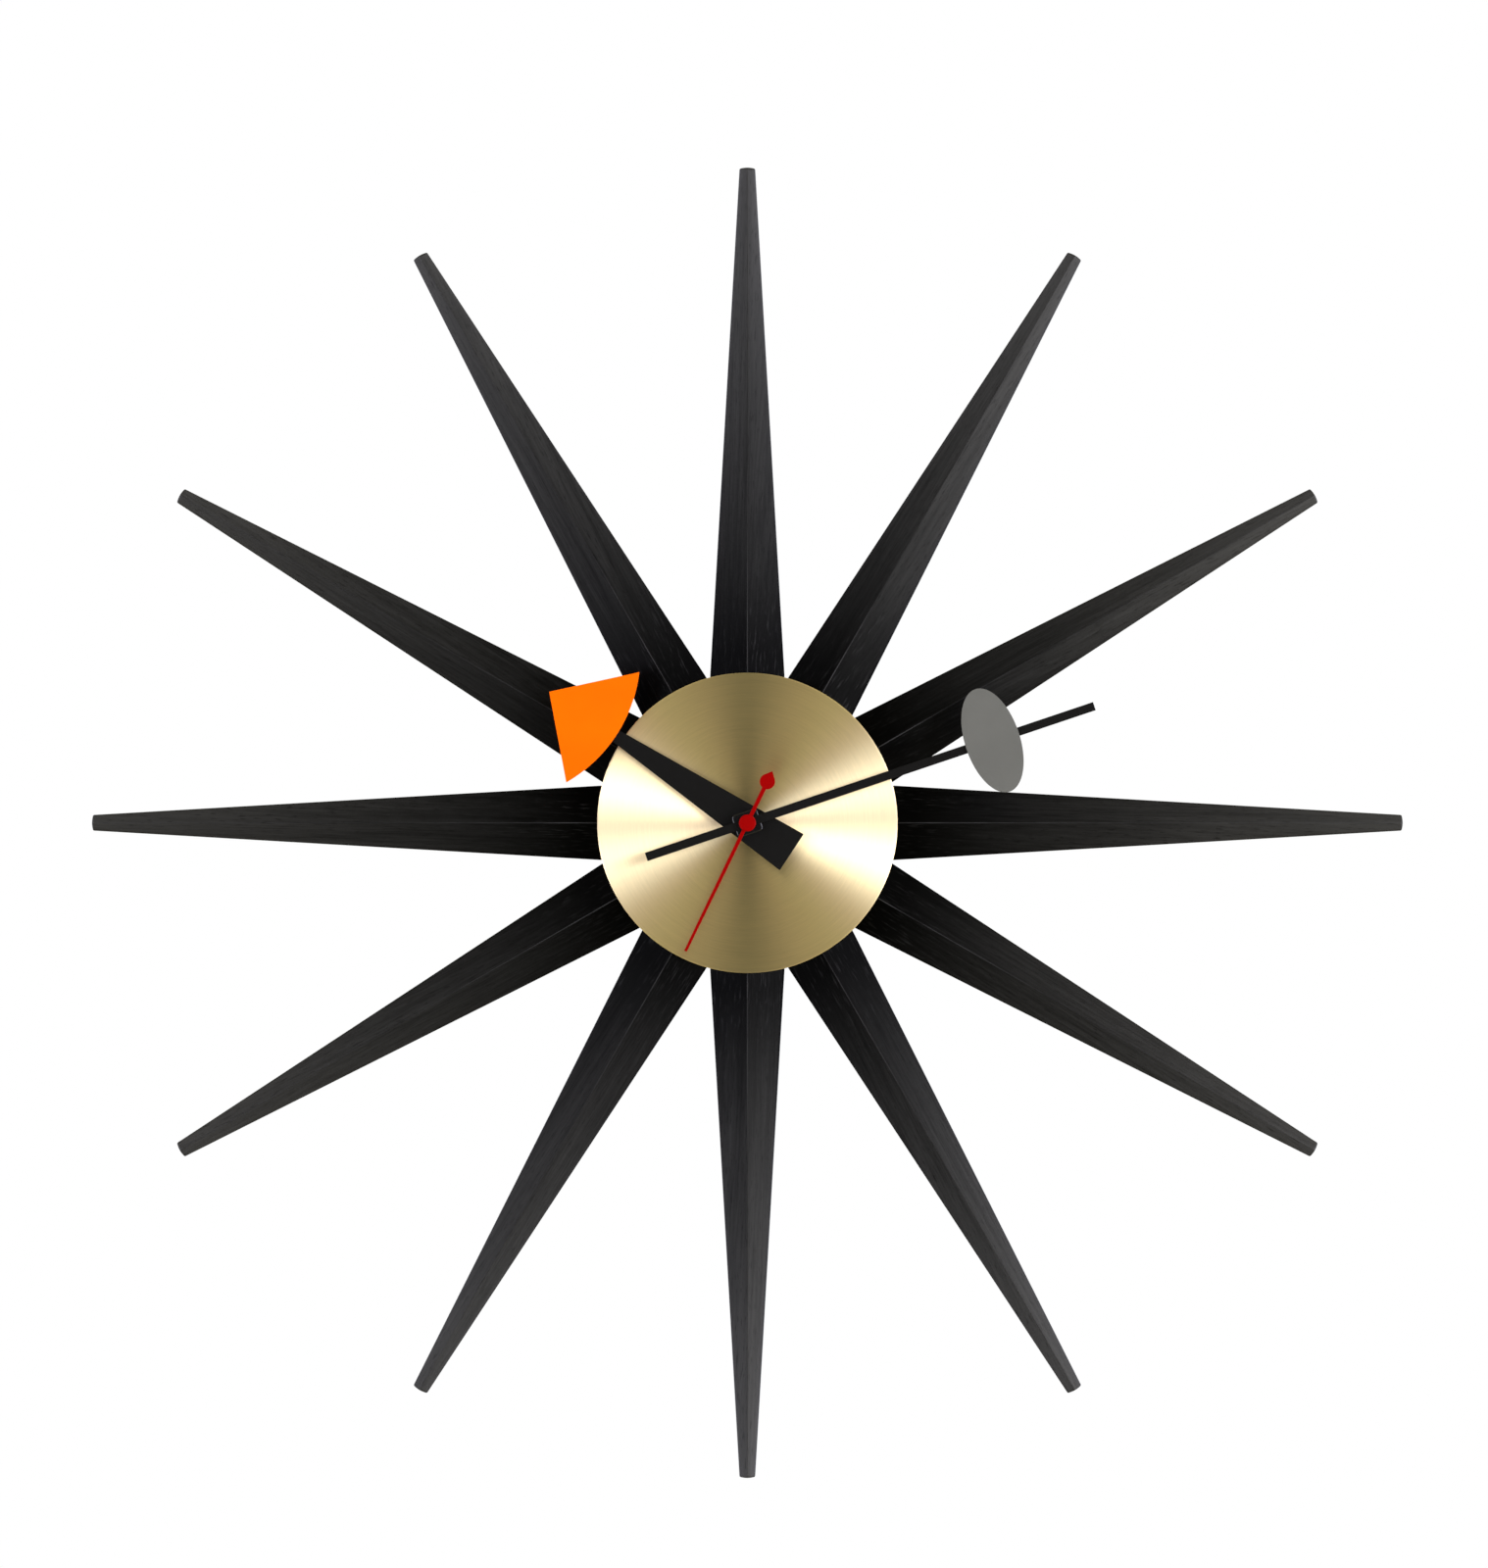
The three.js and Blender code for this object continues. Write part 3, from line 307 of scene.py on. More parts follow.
def boolean(operation, base, *tools):
    """base with the tools cut away ("DIFFERENCE") or grown on ("UNION")."""
    for tool in tools:
        objects = [add_object("boolean", mesh) for mesh in (base, tool)]
        modifier = objects[0].modifiers.new("boolean", "BOOLEAN")
        modifier.operation = operation
        modifier.solver = "EXACT"
        modifier.object = objects[1]
        scene_graph = bpy.context.evaluated_depsgraph_get()
        base = bpy.data.meshes.new_from_object(objects[0].evaluated_get(scene_graph))
        for each in objects:
            bpy.data.objects.remove(each)
    base = without_slivers(base)
    base.set_sharp_from_angle(angle=SMOOTH_BELOW)
    return base


def place(name, mesh, slot, replaced, turn=0.0, body="clock_frame", material=None):
    """Adds a piece on a CAD body, in place of a CAD node, turned clockwise from where it was drawn."""
    mesh.name = name
    mesh.transform(TO_PART @ Matrix.Rotation(-turn, 4, "Z"))
    mesh.materials.clear()
    mesh.materials.append(MATERIAL[material or slot])
    piece = add_object(name, mesh)
    flat_faces = piece.modifiers.new("flat faces", "WEIGHTED_NORMAL")
    flat_faces.keep_sharp = True
    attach(piece, body)
    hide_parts(replaced)
    return piece


# ------------ shader nodes

def feed(tree, node, inputs):
    """Links each socket given, and sets each plain value, on a node's inputs."""
    for name, value in inputs.items():
        socket = node.inputs[name]
        if isinstance(value, bpy.types.NodeSocket):
            tree.links.new(value, socket)
        else:
            socket.default_value = value
    return node


def wired(tree, kind, inputs, settings):
    """A new shader node with its settings made and its inputs fed."""
    node = tree.nodes.new("ShaderNode" + kind)
    for name, value in settings.items():
        setattr(node, name, value)
    return feed(tree, node, inputs)


def set_ramp(node, stops):
    """Gives a colour ramp its (position, colour) stops."""
    for _ in stops[2:]:
        node.color_ramp.elements.new(0.5)
    for element, (position, colour) in zip(node.color_ramp.elements, stops):
        element.position = position
        element.color = (*colour, 1)


class Finish:
    """A procedural material: one Principled shader and the nodes that drive it."""

    def __init__(self, name, colour, roughness, metallic=0.0, specular=0.5):
        self.material = bpy.data.materials.new(name)
        self.material.use_nodes = True
        self.material.diffuse_color = (*colour, 1)
        self.tree = self.material.node_tree
        self.shader = self.tree.nodes["Principled BSDF"]
        self.colour = colour
        self.feed(self.shader, {"Base Color": (*colour, 1), "Roughness": roughness,
                                "Metallic": metallic, "Specular IOR Level": specular})

    def feed(self, node, inputs):
        return feed(self.tree, node, inputs)

    def node(self, kind, inputs=None, **settings):
        return wired(self.tree, kind, inputs or {}, settings)

    def object_place(self, scale=(1, 1, 1)):
        """Position on the object in metres, times a scale for each axis."""
        metres = self.node("TexCoord").outputs["Object"]
        return self.node("Mapping", {"Vector": metres, "Scale": scale}).outputs[0]

    def noise(self, scale, detail=3.0, roughness=0.55, vector=None, distortion=0.0):
        vector = vector or self.object_place()
        settings = {"Vector": vector, "Scale": scale, "Detail": detail, "Roughness": roughness,
                    "Distortion": distortion}
        return self.node("TexNoise", settings).outputs[0]

    def math(self, operation, a, b=0.0, c=0.0):
        return self.node("Math", {0: a, 1: b, 2: c}, operation=operation).outputs[0]

    def span(self, value, low, high, to_low=0.0, to_high=1.0, smooth=False):
        """value mapped from one range to another, held at its ends."""
        inputs = {"Value": value, "From Min": low, "From Max": high, "To Min": to_low, "To Max": to_high}
        kind = "SMOOTHSTEP" if smooth else "LINEAR"
        return self.node("MapRange", inputs, interpolation_type=kind).outputs[0]

    def mix(self, factor, a, b):
        colours = [(*c, 1) if isinstance(c, tuple) and len(c) == 3 else c for c in (a, b)]
        return self.node("Mix", {0: factor, 6: colours[0], 7: colours[1]}, data_type="RGBA").outputs[2]

    def bump(self, height, strength, distance):
        inputs = {"Height": height, "Strength": strength, "Distance": distance}
        self.feed(self.shader, {"Normal": self.node("Bump", inputs).outputs[0]})

    def edges(self, radius):
        """1 along the object's edges and 0 on its faces."""
        rounded = self.node("Bevel", {"Radius": radius}, samples=4).outputs[0]
        flat = self.node("NewGeometry").outputs["Normal"]
        likeness = self.node("VectorMath", {0: rounded, 1: flat}, operation="DOT_PRODUCT").outputs["Value"]
        return self.span(likeness, 0.99, 0.75)

    def shade(self, share):
        return tuple(c * share for c in self.colour)


# ------------ materials

# Painted shade along a ray, near black at the drum and lighter towards the tip: share of its length and
# level.
ASH_PAINTED_SHADING = [(0.0, 0.0001), (0.09, 0.0003), (0.17, 0.0032), (0.33, 0.0107), (0.5, 0.0172), (0.75, 0.027),
            (1.0, 0.039)]
ASH_TINT = (1, 0.965, 0.85)


def black_ash():
    """Open-grained ash under thin black lacquer, with painted shade near the drum and a painted highlight on
    the ridge.
    """
    # Its metallic share lets the painted shade along the ray dim the reflection as well as the colour.
    f = Finish("black_ash", (0.022, 0.022, 0.021), 0.42, metallic=0.3, specular=0.036)
    f.feed(f.shader, {"Specular Tint": (1, 0.97, 0.88, 1)})
    grain = f.node("UVMap", uv_map="grain").outputs[0]
    axes = f.node("SeparateXYZ", {0: f.node("UVMap", uv_map="ray").outputs[0]})
    length, across = axes.outputs[0], axes.outputs[1]

    def along_grain(per_metre_along, per_metre_across, detail, distortion=0.0):
        scale = (per_metre_along, per_metre_across, 1)
        stretched = f.node("Mapping", {"Vector": grain, "Scale": scale}).outputs[0]
        return f.noise(1.0, detail, 0.6, stretched, distortion)

    fibres = along_grain(70, 2100, 3, 0.3)
    streaks = along_grain(26, 800, 2, 0.3)
    bands = along_grain(9, 260, 3, 0.6)
    flecks = f.span(along_grain(150, 1900, 2), 0.56, 0.70)
    vessels = f.span(along_grain(210, 2600, 1), 0.60, 0.68)

    # Painted shade: near black at the drum and lighter towards the tip, standing in for how light falls
    # along the ray.
    painted_shading = f.node("ValToRGB", {0: length})
    set_ramp(painted_shading, [(share, [level * tint for tint in ASH_TINT]) for share, level in ASH_PAINTED_SHADING])
    contrast = f.span(length, 0.25, 0.9, 1.0, 0.35)
    streaked = f.math("ADD", f.span(fibres, 0.3, 0.7, -0.28, 0.28), f.span(bands, 0.3, 0.7, -0.2, 0.2))
    streaked = f.math("ADD", streaked, f.span(streaks, 0.3, 0.7, -0.26, 0.26))
    streaked = f.math("MULTIPLY_ADD", streaked, contrast, 1.0)
    pores = f.math("MULTIPLY_ADD", f.math("MULTIPLY", vessels, bands), -0.7, 1.0)
    pored = f.math("MULTIPLY", streaked, pores)
    grained = f.node("VectorMath", {0: painted_shading.outputs[0], "Scale": pored}, operation="SCALE").outputs[0]
    near_drum = f.span(length, 0.02, 0.42, 1.0, 0.12, smooth=True)
    fleck = f.math("MULTIPLY", f.math("MULTIPLY", flecks, f.span(bands, 0.35, 0.6)), near_drum)
    flecked = f.mix(f.math("MULTIPLY", fleck, 0.42), grained, (0.030, 0.029, 0.027))

    # Painted highlight along the ridge, broken up by noise and strongest near the drum.
    ridge = f.span(f.math("ABSOLUTE", across), 0.06 * MM, 0.28 * MM, 1.0, 0.0, smooth=True)
    highlight_breakup = f.span(along_grain(45, 45, 3), 0.35, 0.6, 0.3, 1.0)
    fading = f.span(length, 0.08, 0.5, 0.6, 0.05)
    painted_ridge_highlight = f.math("MULTIPLY", f.math("MULTIPLY", ridge, highlight_breakup), fading)
    f.feed(f.shader, {"Base Color": f.mix(painted_ridge_highlight, flecked, (0.062, 0.060, 0.056)),
                      "Roughness": f.span(fibres, 0.25, 0.75, 0.36, 0.50)})
    relief = f.math("ADD", f.math("MULTIPLY", fibres, 0.6), f.math("MULTIPLY", vessels, -0.8))
    f.bump(relief, 0.12, 0.08 * MM)
    return f.material


def brushed_brass():
    """Dial brass brushed in circles round the centre."""
    f = Finish("dial_brass", (0.83, 0.66, 0.34), 0.42, metallic=1.0)
    from_centre = f.node("VectorMath", {0: f.object_place(), 1: tuple(AXIS)}, operation="SUBTRACT")
    axes = f.node("SeparateXYZ", {0: from_centre.outputs[0]})
    x, z = axes.outputs[0], axes.outputs[2]
    flat = f.node("CombineXYZ", {0: x, 1: z}).outputs[0]
    radius = f.node("VectorMath", {0: flat}, operation="LENGTH").outputs["Value"]
    angle = f.math("ARCTAN2", z, x)

    def round_lines(per_metre, per_radian, detail, roughness):
        stretched = {0: f.math("MULTIPLY", radius, per_metre), 1: f.math("MULTIPLY", angle, per_radian)}
        return f.noise(1.0, detail, roughness, f.node("CombineXYZ", stretched).outputs[0])

    brushing = round_lines(1300, 1.6, 5, 0.75)
    hairlines = round_lines(7000, 9, 2, 0.6)
    cloud = f.noise(38, 2)
    lines = f.math("MULTIPLY_ADD", brushing, 0.75, f.math("MULTIPLY", hairlines, 0.35))
    shade = f.math("ADD", f.span(lines, 0.3, 0.8, 0.90, 1.09), f.span(cloud, 0.3, 0.7, -0.012, 0.012))
    colour = f.node("VectorMath", {0: f.colour, "Scale": shade}, operation="SCALE").outputs[0]
    f.feed(f.shader, {"Base Color": colour, "Roughness": f.span(brushing, 0.3, 0.7, 0.40, 0.44),
                      "Anisotropic": 1.0, "Anisotropic Rotation": 0.25,
                      "Tangent": f.node("Tangent", direction_type="RADIAL", axis="Y").outputs[0]})
    f.bump(lines, 0.08, 0.02 * MM)
    return f.material


def satin_paint(name, colour, roughness, worn, specular):
    """Sprayed paint on sheet metal: fine orange peel, a faint mottle and thin paint at the edges."""
    f = Finish(name, colour, roughness, specular=specular)
    f.feed(f.shader, {"Specular Tint": (1, 0.96, 0.86, 1)})
    peel = f.noise(2400, 2)
    cloud = f.noise(60, 3)
    soft = f.mix(f.span(cloud, 0.3, 0.7), f.shade(0.95), f.shade(1.05))
    edge = f.math("MULTIPLY", f.edges(0.12 * MM), f.span(f.noise(700, 3), 0.45, 0.7, 0.0, 0.35))
    f.feed(f.shader, {"Base Color": f.mix(edge, soft, worn),
                      "Roughness": f.span(peel, 0.2, 0.8, roughness - 0.05, roughness + 0.06)})
    f.bump(peel, 0.12, 0.03 * MM)
    return f.material


def powder_coat():
    """Fine-textured black powder coat, thin on the edges."""
    f = Finish("black_steel", (0.012, 0.012, 0.0125), 0.5, specular=0.4)
    pebbles = f.noise(2600, 3, 0.6)
    edge = f.math("MULTIPLY", f.edges(0.3 * MM), f.span(f.noise(300, 4), 0.5, 0.75, 0.0, 0.5))
    mottled = f.mix(f.span(f.noise(45, 3), 0.3, 0.7), f.shade(0.8), f.shade(1.3))
    f.feed(f.shader, {"Base Color": f.mix(edge, mottled, (0.05, 0.05, 0.052)),
                      "Roughness": f.span(pebbles, 0.3, 0.7, 0.44, 0.62)})
    f.bump(pebbles, 0.5, 0.05 * MM)
    return f.material


def zinc_plate():
    """Bright zinc on pressed steel, with rolling lines, a faint yellow bloom and painted shade in its
    corners and recesses.
    """
    f = Finish("zinc_steel", (0.62, 0.63, 0.64), 0.34, metallic=1.0)
    rolled = f.noise(1.0, 4, 0.6, f.object_place((60, 900, 900)))
    bloom = f.span(f.noise(70, 4), 0.4, 0.7)
    # Painted shade: the colour darkens where ambient occlusion finds corners, slots and recesses.
    open_to_light = f.node("AmbientOcclusion", {"Distance": 0.9 * MM}, samples=6).outputs["AO"]
    unshaded_zinc = f.mix(bloom, f.shade(1.0), (0.60, 0.57, 0.50))
    f.feed(f.shader, {"Base Color": f.mix(f.span(open_to_light, 0.25, 0.85), (0.07, 0.065, 0.06), unshaded_zinc),
                      "Roughness": f.span(rolled, 0.25, 0.75, 0.26, 0.46)})
    f.bump(rolled, 0.15, 0.03 * MM)
    return f.material


def moulded_plastic(name, colour, roughness, grain):
    """Injection-moulded plastic with a spark-eroded grain and paler dusty patches."""
    f = Finish(name, colour, roughness)
    texture = f.noise(grain, 3, 0.6)
    dust = f.span(f.noise(110, 4), 0.45, 0.75)
    f.feed(f.shader, {"Base Color": f.mix(dust, f.shade(0.92), f.shade(1.12)),
                      "Roughness": f.span(texture, 0.3, 0.7, roughness - 0.07, roughness + 0.08)})
    f.bump(texture, 0.3, 0.04 * MM)
    return f.material


def turned_brass():
    """Wheel brass with fine turning lines."""
    f = Finish("gear_brass", (0.72, 0.52, 0.22), 0.3, metallic=1.0)
    lines = f.noise(1.0, 3, 0.6, f.object_place((3000, 400, 3000)))
    f.feed(f.shader, {"Base Color": f.mix(f.span(f.noise(90, 3), 0.35, 0.7), f.shade(0.9), f.shade(1.06)),
                      "Roughness": f.span(lines, 0.3, 0.7, 0.22, 0.4)})
    f.bump(lines, 0.12, 0.02 * MM)
    return f.material


def wound_copper():
    """Enamelled wire laid turn by turn along the coil, with painted shade between the turns."""
    f = Finish("coil_copper", (0.5, 0.16, 0.05), 0.32, metallic=0.7)
    turns = f.node("TexWave", {"Vector": f.object_place(), "Scale": 1500.0, "Distortion": 0.3},
                   bands_direction="X").outputs[1]
    # Painted shade in the grooves between the turns and a lighter crown on each turn.
    f.feed(f.shader, {"Base Color": f.mix(turns, f.shade(0.45), f.shade(1.1))})
    f.bump(turns, 0.6, 0.08 * MM)
    return f.material


def cell_sleeve(left, right):
    """Shrink sleeve of a plain battery: slate body with a copper band at its positive end."""
    f = Finish("cell_wrap", (0.045, 0.062, 0.085), 0.3)
    x = f.node("SeparateXYZ", {0: f.object_place()}).outputs[0]
    band = f.math("GREATER_THAN", x, left + (right - left) * 0.72)
    positive_end = f.math("GREATER_THAN", x, right - 0.6 * MM)
    metal = f.math("ADD", positive_end, f.math("LESS_THAN", x, left + 0.4 * MM))
    scuffs = f.span(f.noise(1.0, 4, 0.6, f.object_place((90, 900, 900))), 0.55, 0.8)
    sleeve = f.mix(band, f.mix(scuffs, f.colour, (0.09, 0.11, 0.14)), (0.55, 0.26, 0.12))
    f.feed(f.shader, {"Base Color": f.mix(metal, sleeve, (0.62, 0.61, 0.58)), "Metallic": metal,
                      "Roughness": f.span(scuffs, 0, 1, 0.26, 0.42)})
    f.bump(f.noise(140, 2), 0.15, 0.1 * MM)
    return f.material


def painted_floor():
    """Pale matt floor with a faint trowelled mottle."""
    f = Finish("pale_floor", (0.86, 0.85, 0.83), 0.75, specular=0.2)
    mottle = f.noise(1.4, 5)
    f.feed(f.shader, {"Base Color": f.mix(f.span(mottle, 0.3, 0.7), f.shade(0.97), f.shade(1.02))})
    f.bump(f.noise(30, 4), 0.05, 2 * MM)
    return f.material


# Colour, roughness, colour where it is worn and specular level.
PAINTS = {
    "hand_black": ((0.0030, 0.0028, 0.0023), 0.4, (0.02, 0.019, 0.017), 0.15),
    "hub_black": ((0.0025, 0.0025, 0.0023), 0.25, (0.02, 0.019, 0.017), 0.35),
    "flag_orange": ((0.84, 0.127, 0.0002), 0.6, (0.8, 0.19, 0.005), 0.02),
    "oval_grey": ((0.108, 0.106, 0.088), 0.6, (0.2, 0.195, 0.165), 0.15),
    "second_red": ((0.243, 0.0002, 0.0002), 0.45, (0.3, 0.008, 0.006), 0.03),
}
# Colour, roughness and grain.
PLASTICS = {
    "case_plastic": ((0.022, 0.022, 0.024), 0.5, 1800),
    "gear_plastic": ((0.42, 0.41, 0.375), 0.45, 900),
    "rubber": ((0.02, 0.02, 0.02), 0.85, 1200),
    "board_green": ((0.03, 0.13, 0.05), 0.38, 1500),
    "magnet_grey": ((0.07, 0.07, 0.075), 0.45, 2500),
}
cell_low, cell_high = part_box("battery_cell")
MATERIAL = {
    "black_ash": black_ash(),
    "dial_brass": brushed_brass(),
    "zinc_steel": zinc_plate(),
    "black_steel": powder_coat(),
    "gear_brass": turned_brass(),
    "coil_copper": wound_copper(),
    "cell_wrap": cell_sleeve(cell_low.x, cell_high.x),
}
MATERIAL |= {name: satin_paint(name, *values) for name, values in PAINTS.items()}
MATERIAL |= {name: moulded_plastic(name, *values) for name, values in PLASTICS.items()}


def dress_frame():
    """Gives each CAD node the material of its slot in the record."""
    for row in frame["record"]["subparts"]:
        node = frame["nodes"][row["node"]]
        material = MATERIAL[row["material_slot"]]
        if not node.data.materials:
            node.data.materials.append(material)
        for slot in node.material_slots:
            slot.link = "OBJECT"
            slot.material = material


# ------------ rays

def ray_half_width(y):
    return (RAY.root_width - RAY.taper * (y - RAY.width_radius)) / 2


def ray_outline_half_width(y):
    """Half the ray's width: a wedge between its neighbours, a rounded shoulder, then the long taper."""
    sector = math.pi / RAY.count
    side_gap = GAP / 2 / math.cos(sector)
    corner = (ray_half_width(0) + side_gap) / (math.tan(sector) + RAY.taper / 2)
    wedge = y * math.tan(sector) - side_gap
    if abs(y - corner) >= RAY.shoulder:
        return min(wedge, ray_half_width(y))
    share = (y - corner + RAY.shoulder) / (2 * RAY.shoulder)
    start = (corner - RAY.shoulder) * math.tan(sector) - side_gap
    middle = corner * math.tan(sector) - side_gap
    end = ray_half_width(corner + RAY.shoulder)
    return (1 - share) ** 2 * start + 2 * share * (1 - share) * middle + share ** 2 * end


def bend(start, corner, end, steps):
    """Points of a quadratic curve from start to end, drawn towards corner."""
    start, corner, end = Vector(start), Vector(corner), Vector(end)
    shares = (i / steps for i in range(steps + 1))
    return [(1 - s) ** 2 * start + 2 * s * (1 - s) * corner + s ** 2 * end for s in shares]


def ray_half_section(y, inset):
    """Right half of the section at y, from the middle of the back to the ridge, as (x, z) points."""
    run = y - RAY.drum
    width = ray_outline_half_width(y) - inset
    rear = RAY.rear + RAY.rear_rise * run + inset * RAY.tip_flattening
    edge = RAY.edge - RAY.edge_fall * run - inset * RAY.tip_flattening

    def surface(x):
        return edge + RAY.slope * (ray_half_width(y) - x)

    tilt = math.atan(RAY.slope)
    edge_round = min(RAY.edge_round, 0.3 * width)
    inner = width - edge_round * math.cos(tilt)
    ridge_round = min(RAY.ridge_round, 0.1 * width)

    points = [Vector((0, rear)), Vector((width / 2, rear))]
    points += bend((width - RAY.rear_round, rear), (width, rear), (width, rear + RAY.rear_round), 3)
    points += bend((width, surface(width) - edge_round), (width, surface(width)), (inner, surface(inner)), 5)
    facet_steps = 6
    crown = RAY.crown * width / (RAY.root_width / 2)
    for i in range(1, facet_steps):
        share = i / facet_steps
        x = inner + (ridge_round - inner) * share
        points.append(Vector((x, surface(x) + crown * 4 * share * (1 - share))))

    # One point between the facet's end and the middle rounds the ridge.
    dip = RAY.slope * ridge_round / 2
    points.append(Vector((ridge_round, surface(ridge_round))))
    points.append(Vector((ridge_round * 0.45, surface(0) - dip * 1.15)))
    points.append(Vector((0, surface(0) - dip)))
    return points


def ray_stations():
    """(y, inset) of each section: root, eleven round the shoulder, long taper and rounded tip."""
    sector = math.pi / RAY.count
    corner = ray_half_width(0) / (math.tan(sector) + RAY.taper / 2)
    shoulder = [corner + RAY.shoulder * (i / 4 - 1.25) for i in range(11)]
    taper_steps = 44
    start, end = shoulder[-1], RAY.tip - RAY.dome - RAY.tip_round
    taper = [start + (end - start) * (i + 1) / taper_steps for i in range(taper_steps)]
    stations = [(y, 0.0) for y in (RAY.root + 0.2 * MM, *shoulder, *taper)]
    tip_steps = 5
    for i in range(1, tip_steps + 1):
        swing = RIGHT_ANGLE * i / tip_steps
        stations.append((end + RAY.tip_round * math.sin(swing), RAY.tip_round * (1 - math.cos(swing))))
    return stations


def ray_section(y, inset):
    """The section at y as (x, z, way from the ridge along the surface), the way negative on the left."""
    right = ray_half_section(y, inset)
    distances = [0.0]
    for a, b in zip(right[::-1], right[-2::-1]):
        distances.append(distances[-1] + (a - b).length)
    section = [(point.x, point.y, distance) for point, distance in zip(right, distances[::-1])]
    return section + [(-x, z, -distance) for x, z, distance in section[-2:0:-1]]


def ray_mesh():
    """One ray along +y, its root hollowed to the drum and its tip domed.

    The uv map called ray holds the share of the length and the distance from the ridge, and the one called
    grain holds the place in the wood that the ray is cut from.
    """
    shape = bmesh.new()
    ray_layer = shape.loops.layers.uv.new("ray")
    grain_layer = shape.loops.layers.uv.new("grain")
    marks = {}

    def add_point(x, y, z, distance):
        point = shape.verts.new((x, y, z))
        marks[point] = (y, distance, x + GRAIN.lean * z)
        return point

    rings = []
    for y, inset in ray_stations():
        section = ray_section(y, inset)
        half = max(x for x, _, _ in section)
        ring = []
        for x, z, distance in section:
            if rings:
                spot = y + RAY.dome * (1 - (x / half) ** 2) * inset / RAY.tip_round
            else:
                spot = math.sqrt(RAY.root ** 2 - x ** 2)
            ring.append(add_point(x, spot, z, distance))
        rings.append(ring)
    count = len(rings[0])
    for ring, following in zip(rings, rings[1:]):
        for i in range(count):
            j = (i + 1) % count
            shape.faces.new((ring[i], ring[j], following[j], following[i]))
    for ring in (rings[0], rings[-1]):
        centre = sum((point.co for point in ring), Vector()) / count
        hub = add_point(centre.x, max(point.co.y for point in ring), centre.z, 0.0)
        for i in range(count):
            shape.faces.new((ring[i], ring[(i + 1) % count], hub))

    # On the back the distances of the two halves meet, with opposite signs: such a face takes them unsigned.
    length, widest_step = RAY.tip - RAY.root, 15 * MM
    for face in shape.faces:
        distances = [marks[loop.vert][1] for loop in face.loops]
        on_seam = max(distances) - min(distances) > widest_step
        for loop in face.loops:
            spot, distance, across = marks[loop.vert]
            loop[ray_layer].uv = ((spot - RAY.root) / length, abs(distance) if on_seam else distance)
            loop[grain_layer].uv = (spot, across)
    bmesh.ops.recalc_face_normals(shape, faces=shape.faces)
    mesh = bpy.data.meshes.new("ray")
    shape.to_mesh(mesh)
    shape.free()
    mesh.shade_smooth()
    return boolean("DIFFERENCE", mesh, ray_screw_hole(RAY.root - 2 * MM, RAY_SCREW.point + GAP))


def along_ray(mesh):
    """Lays a mesh drawn round the z axis down on the axis of the screw in the upright ray."""
    return moved(mesh, z=RAY_SCREW.height, turn=Matrix.Rotation(-RIGHT_ANGLE, 4, "X"))


def ray_screw_hole(start, end):
    return along_ray(rod(RAY_SCREW.hole, start, end, 0.05 * MM, 24))


def with_cross_slot(screw, width, length, rear, front):
    """The screw with a cross slot cut into its head between two heights."""
    bar = (length / 2, width / 2)
    return boolean("DIFFERENCE", screw, *[block(-x, x, -y, y, rear, front) for x, y in (bar, bar[::-1])])


def ray_screw_mesh():
    """Pan-head wood screw along +y, its cross slot towards the drum's middle and its thread as rings."""
    s = RAY_SCREW
    head_rear = s.head_front - s.head_length
    profile = filleted([(0, head_rear, 0), (s.head * 0.55, head_rear, 0.5 * MM),
                        (s.head, head_rear + 1.2 * MM, 0.4 * MM), (s.head, s.head_front, 0.15 * MM),
                        (s.shank, s.head_front, 0)])
    thread_start, thread_end = s.head_front + s.plain, s.point - s.taper
    for i in range(int((thread_end - thread_start) / s.pitch)):
        z = thread_start + i * s.pitch
        profile += [(s.shank * s.core, z), (s.shank, z + s.pitch * 0.45), (s.shank, z + s.pitch * 0.55)]
    profile += [(s.shank * s.core, thread_end), (0, s.point)]
    slot = (s.slot_width, s.slot_length, head_rear - MM, head_rear + s.slot_depth)
    return along_ray(with_cross_slot(turned(profile, 24), *slot))


def add_rays():
    ray = ray_mesh()
    screw = ray_screw_mesh()
    for i in range(RAY.count):
        number = f"{i + 1:02d}"
        angle = i * TURN / RAY.count
        board = ray.copy()
        for corner in board.uv_layers["grain"].data:
            corner.uv = (corner.uv.x + GRAIN.step_along * i, corner.uv.y + GRAIN.step_across * i)
        place("ray_wood_" + number, board, "black_ash", "ray_" + number, angle)
        place("wood_screw_" + number, screw.copy(), "zinc_steel", "ray_screw_" + number, angle)


# ------------ dial, drum and hanger

def stud_places():
    angles = (RIGHT_ANGLE + i * TURN / STUD.count for i in range(STUD.count))
    return [(DIAL.stud_circle * math.cos(a), DIAL.stud_circle * math.sin(a)) for a in angles]


def add_dial():
    """Disc with a turned-back rim and three threaded studs welded behind it."""
    rear, front = heights("dial")
    radius = (dial_high.x - dial_low.x) / 2
    back = front - DIAL.sheet
    rim_rear = front - DIAL.rim
    rim_inner = radius - DIAL.sheet
    profile = filleted([
        (DIAL.bore, back, 0.1 * MM), (rim_inner, back, 0.3 * MM), (rim_inner, rim_rear, 0.1 * MM),
        (radius, rim_rear, 0.2 * MM), (radius, front, DIAL.edge), (DIAL.bore, front, 0.15 * MM)], 6)
    disc = turned(profile, 240)
    root = back + DIAL.sheet / 2
    thread = [(0, root), (STUD.radius, root)]
    for i in range(int((back - rear) / STUD.pitch) - 1):
        z = back - STUD.plain - i * STUD.pitch
        thread += [(STUD.radius, z), (STUD.radius - STUD.thread_depth, z - STUD.pitch / 2)]
    thread += [(STUD.radius - STUD.end_taper, rear), (0, rear)]
    studs = [moved(turned(thread, 20), x, y) for x, y in stud_places()]
    place("dial_disc", boolean("UNION", disc, *studs), "dial_brass", "dial")


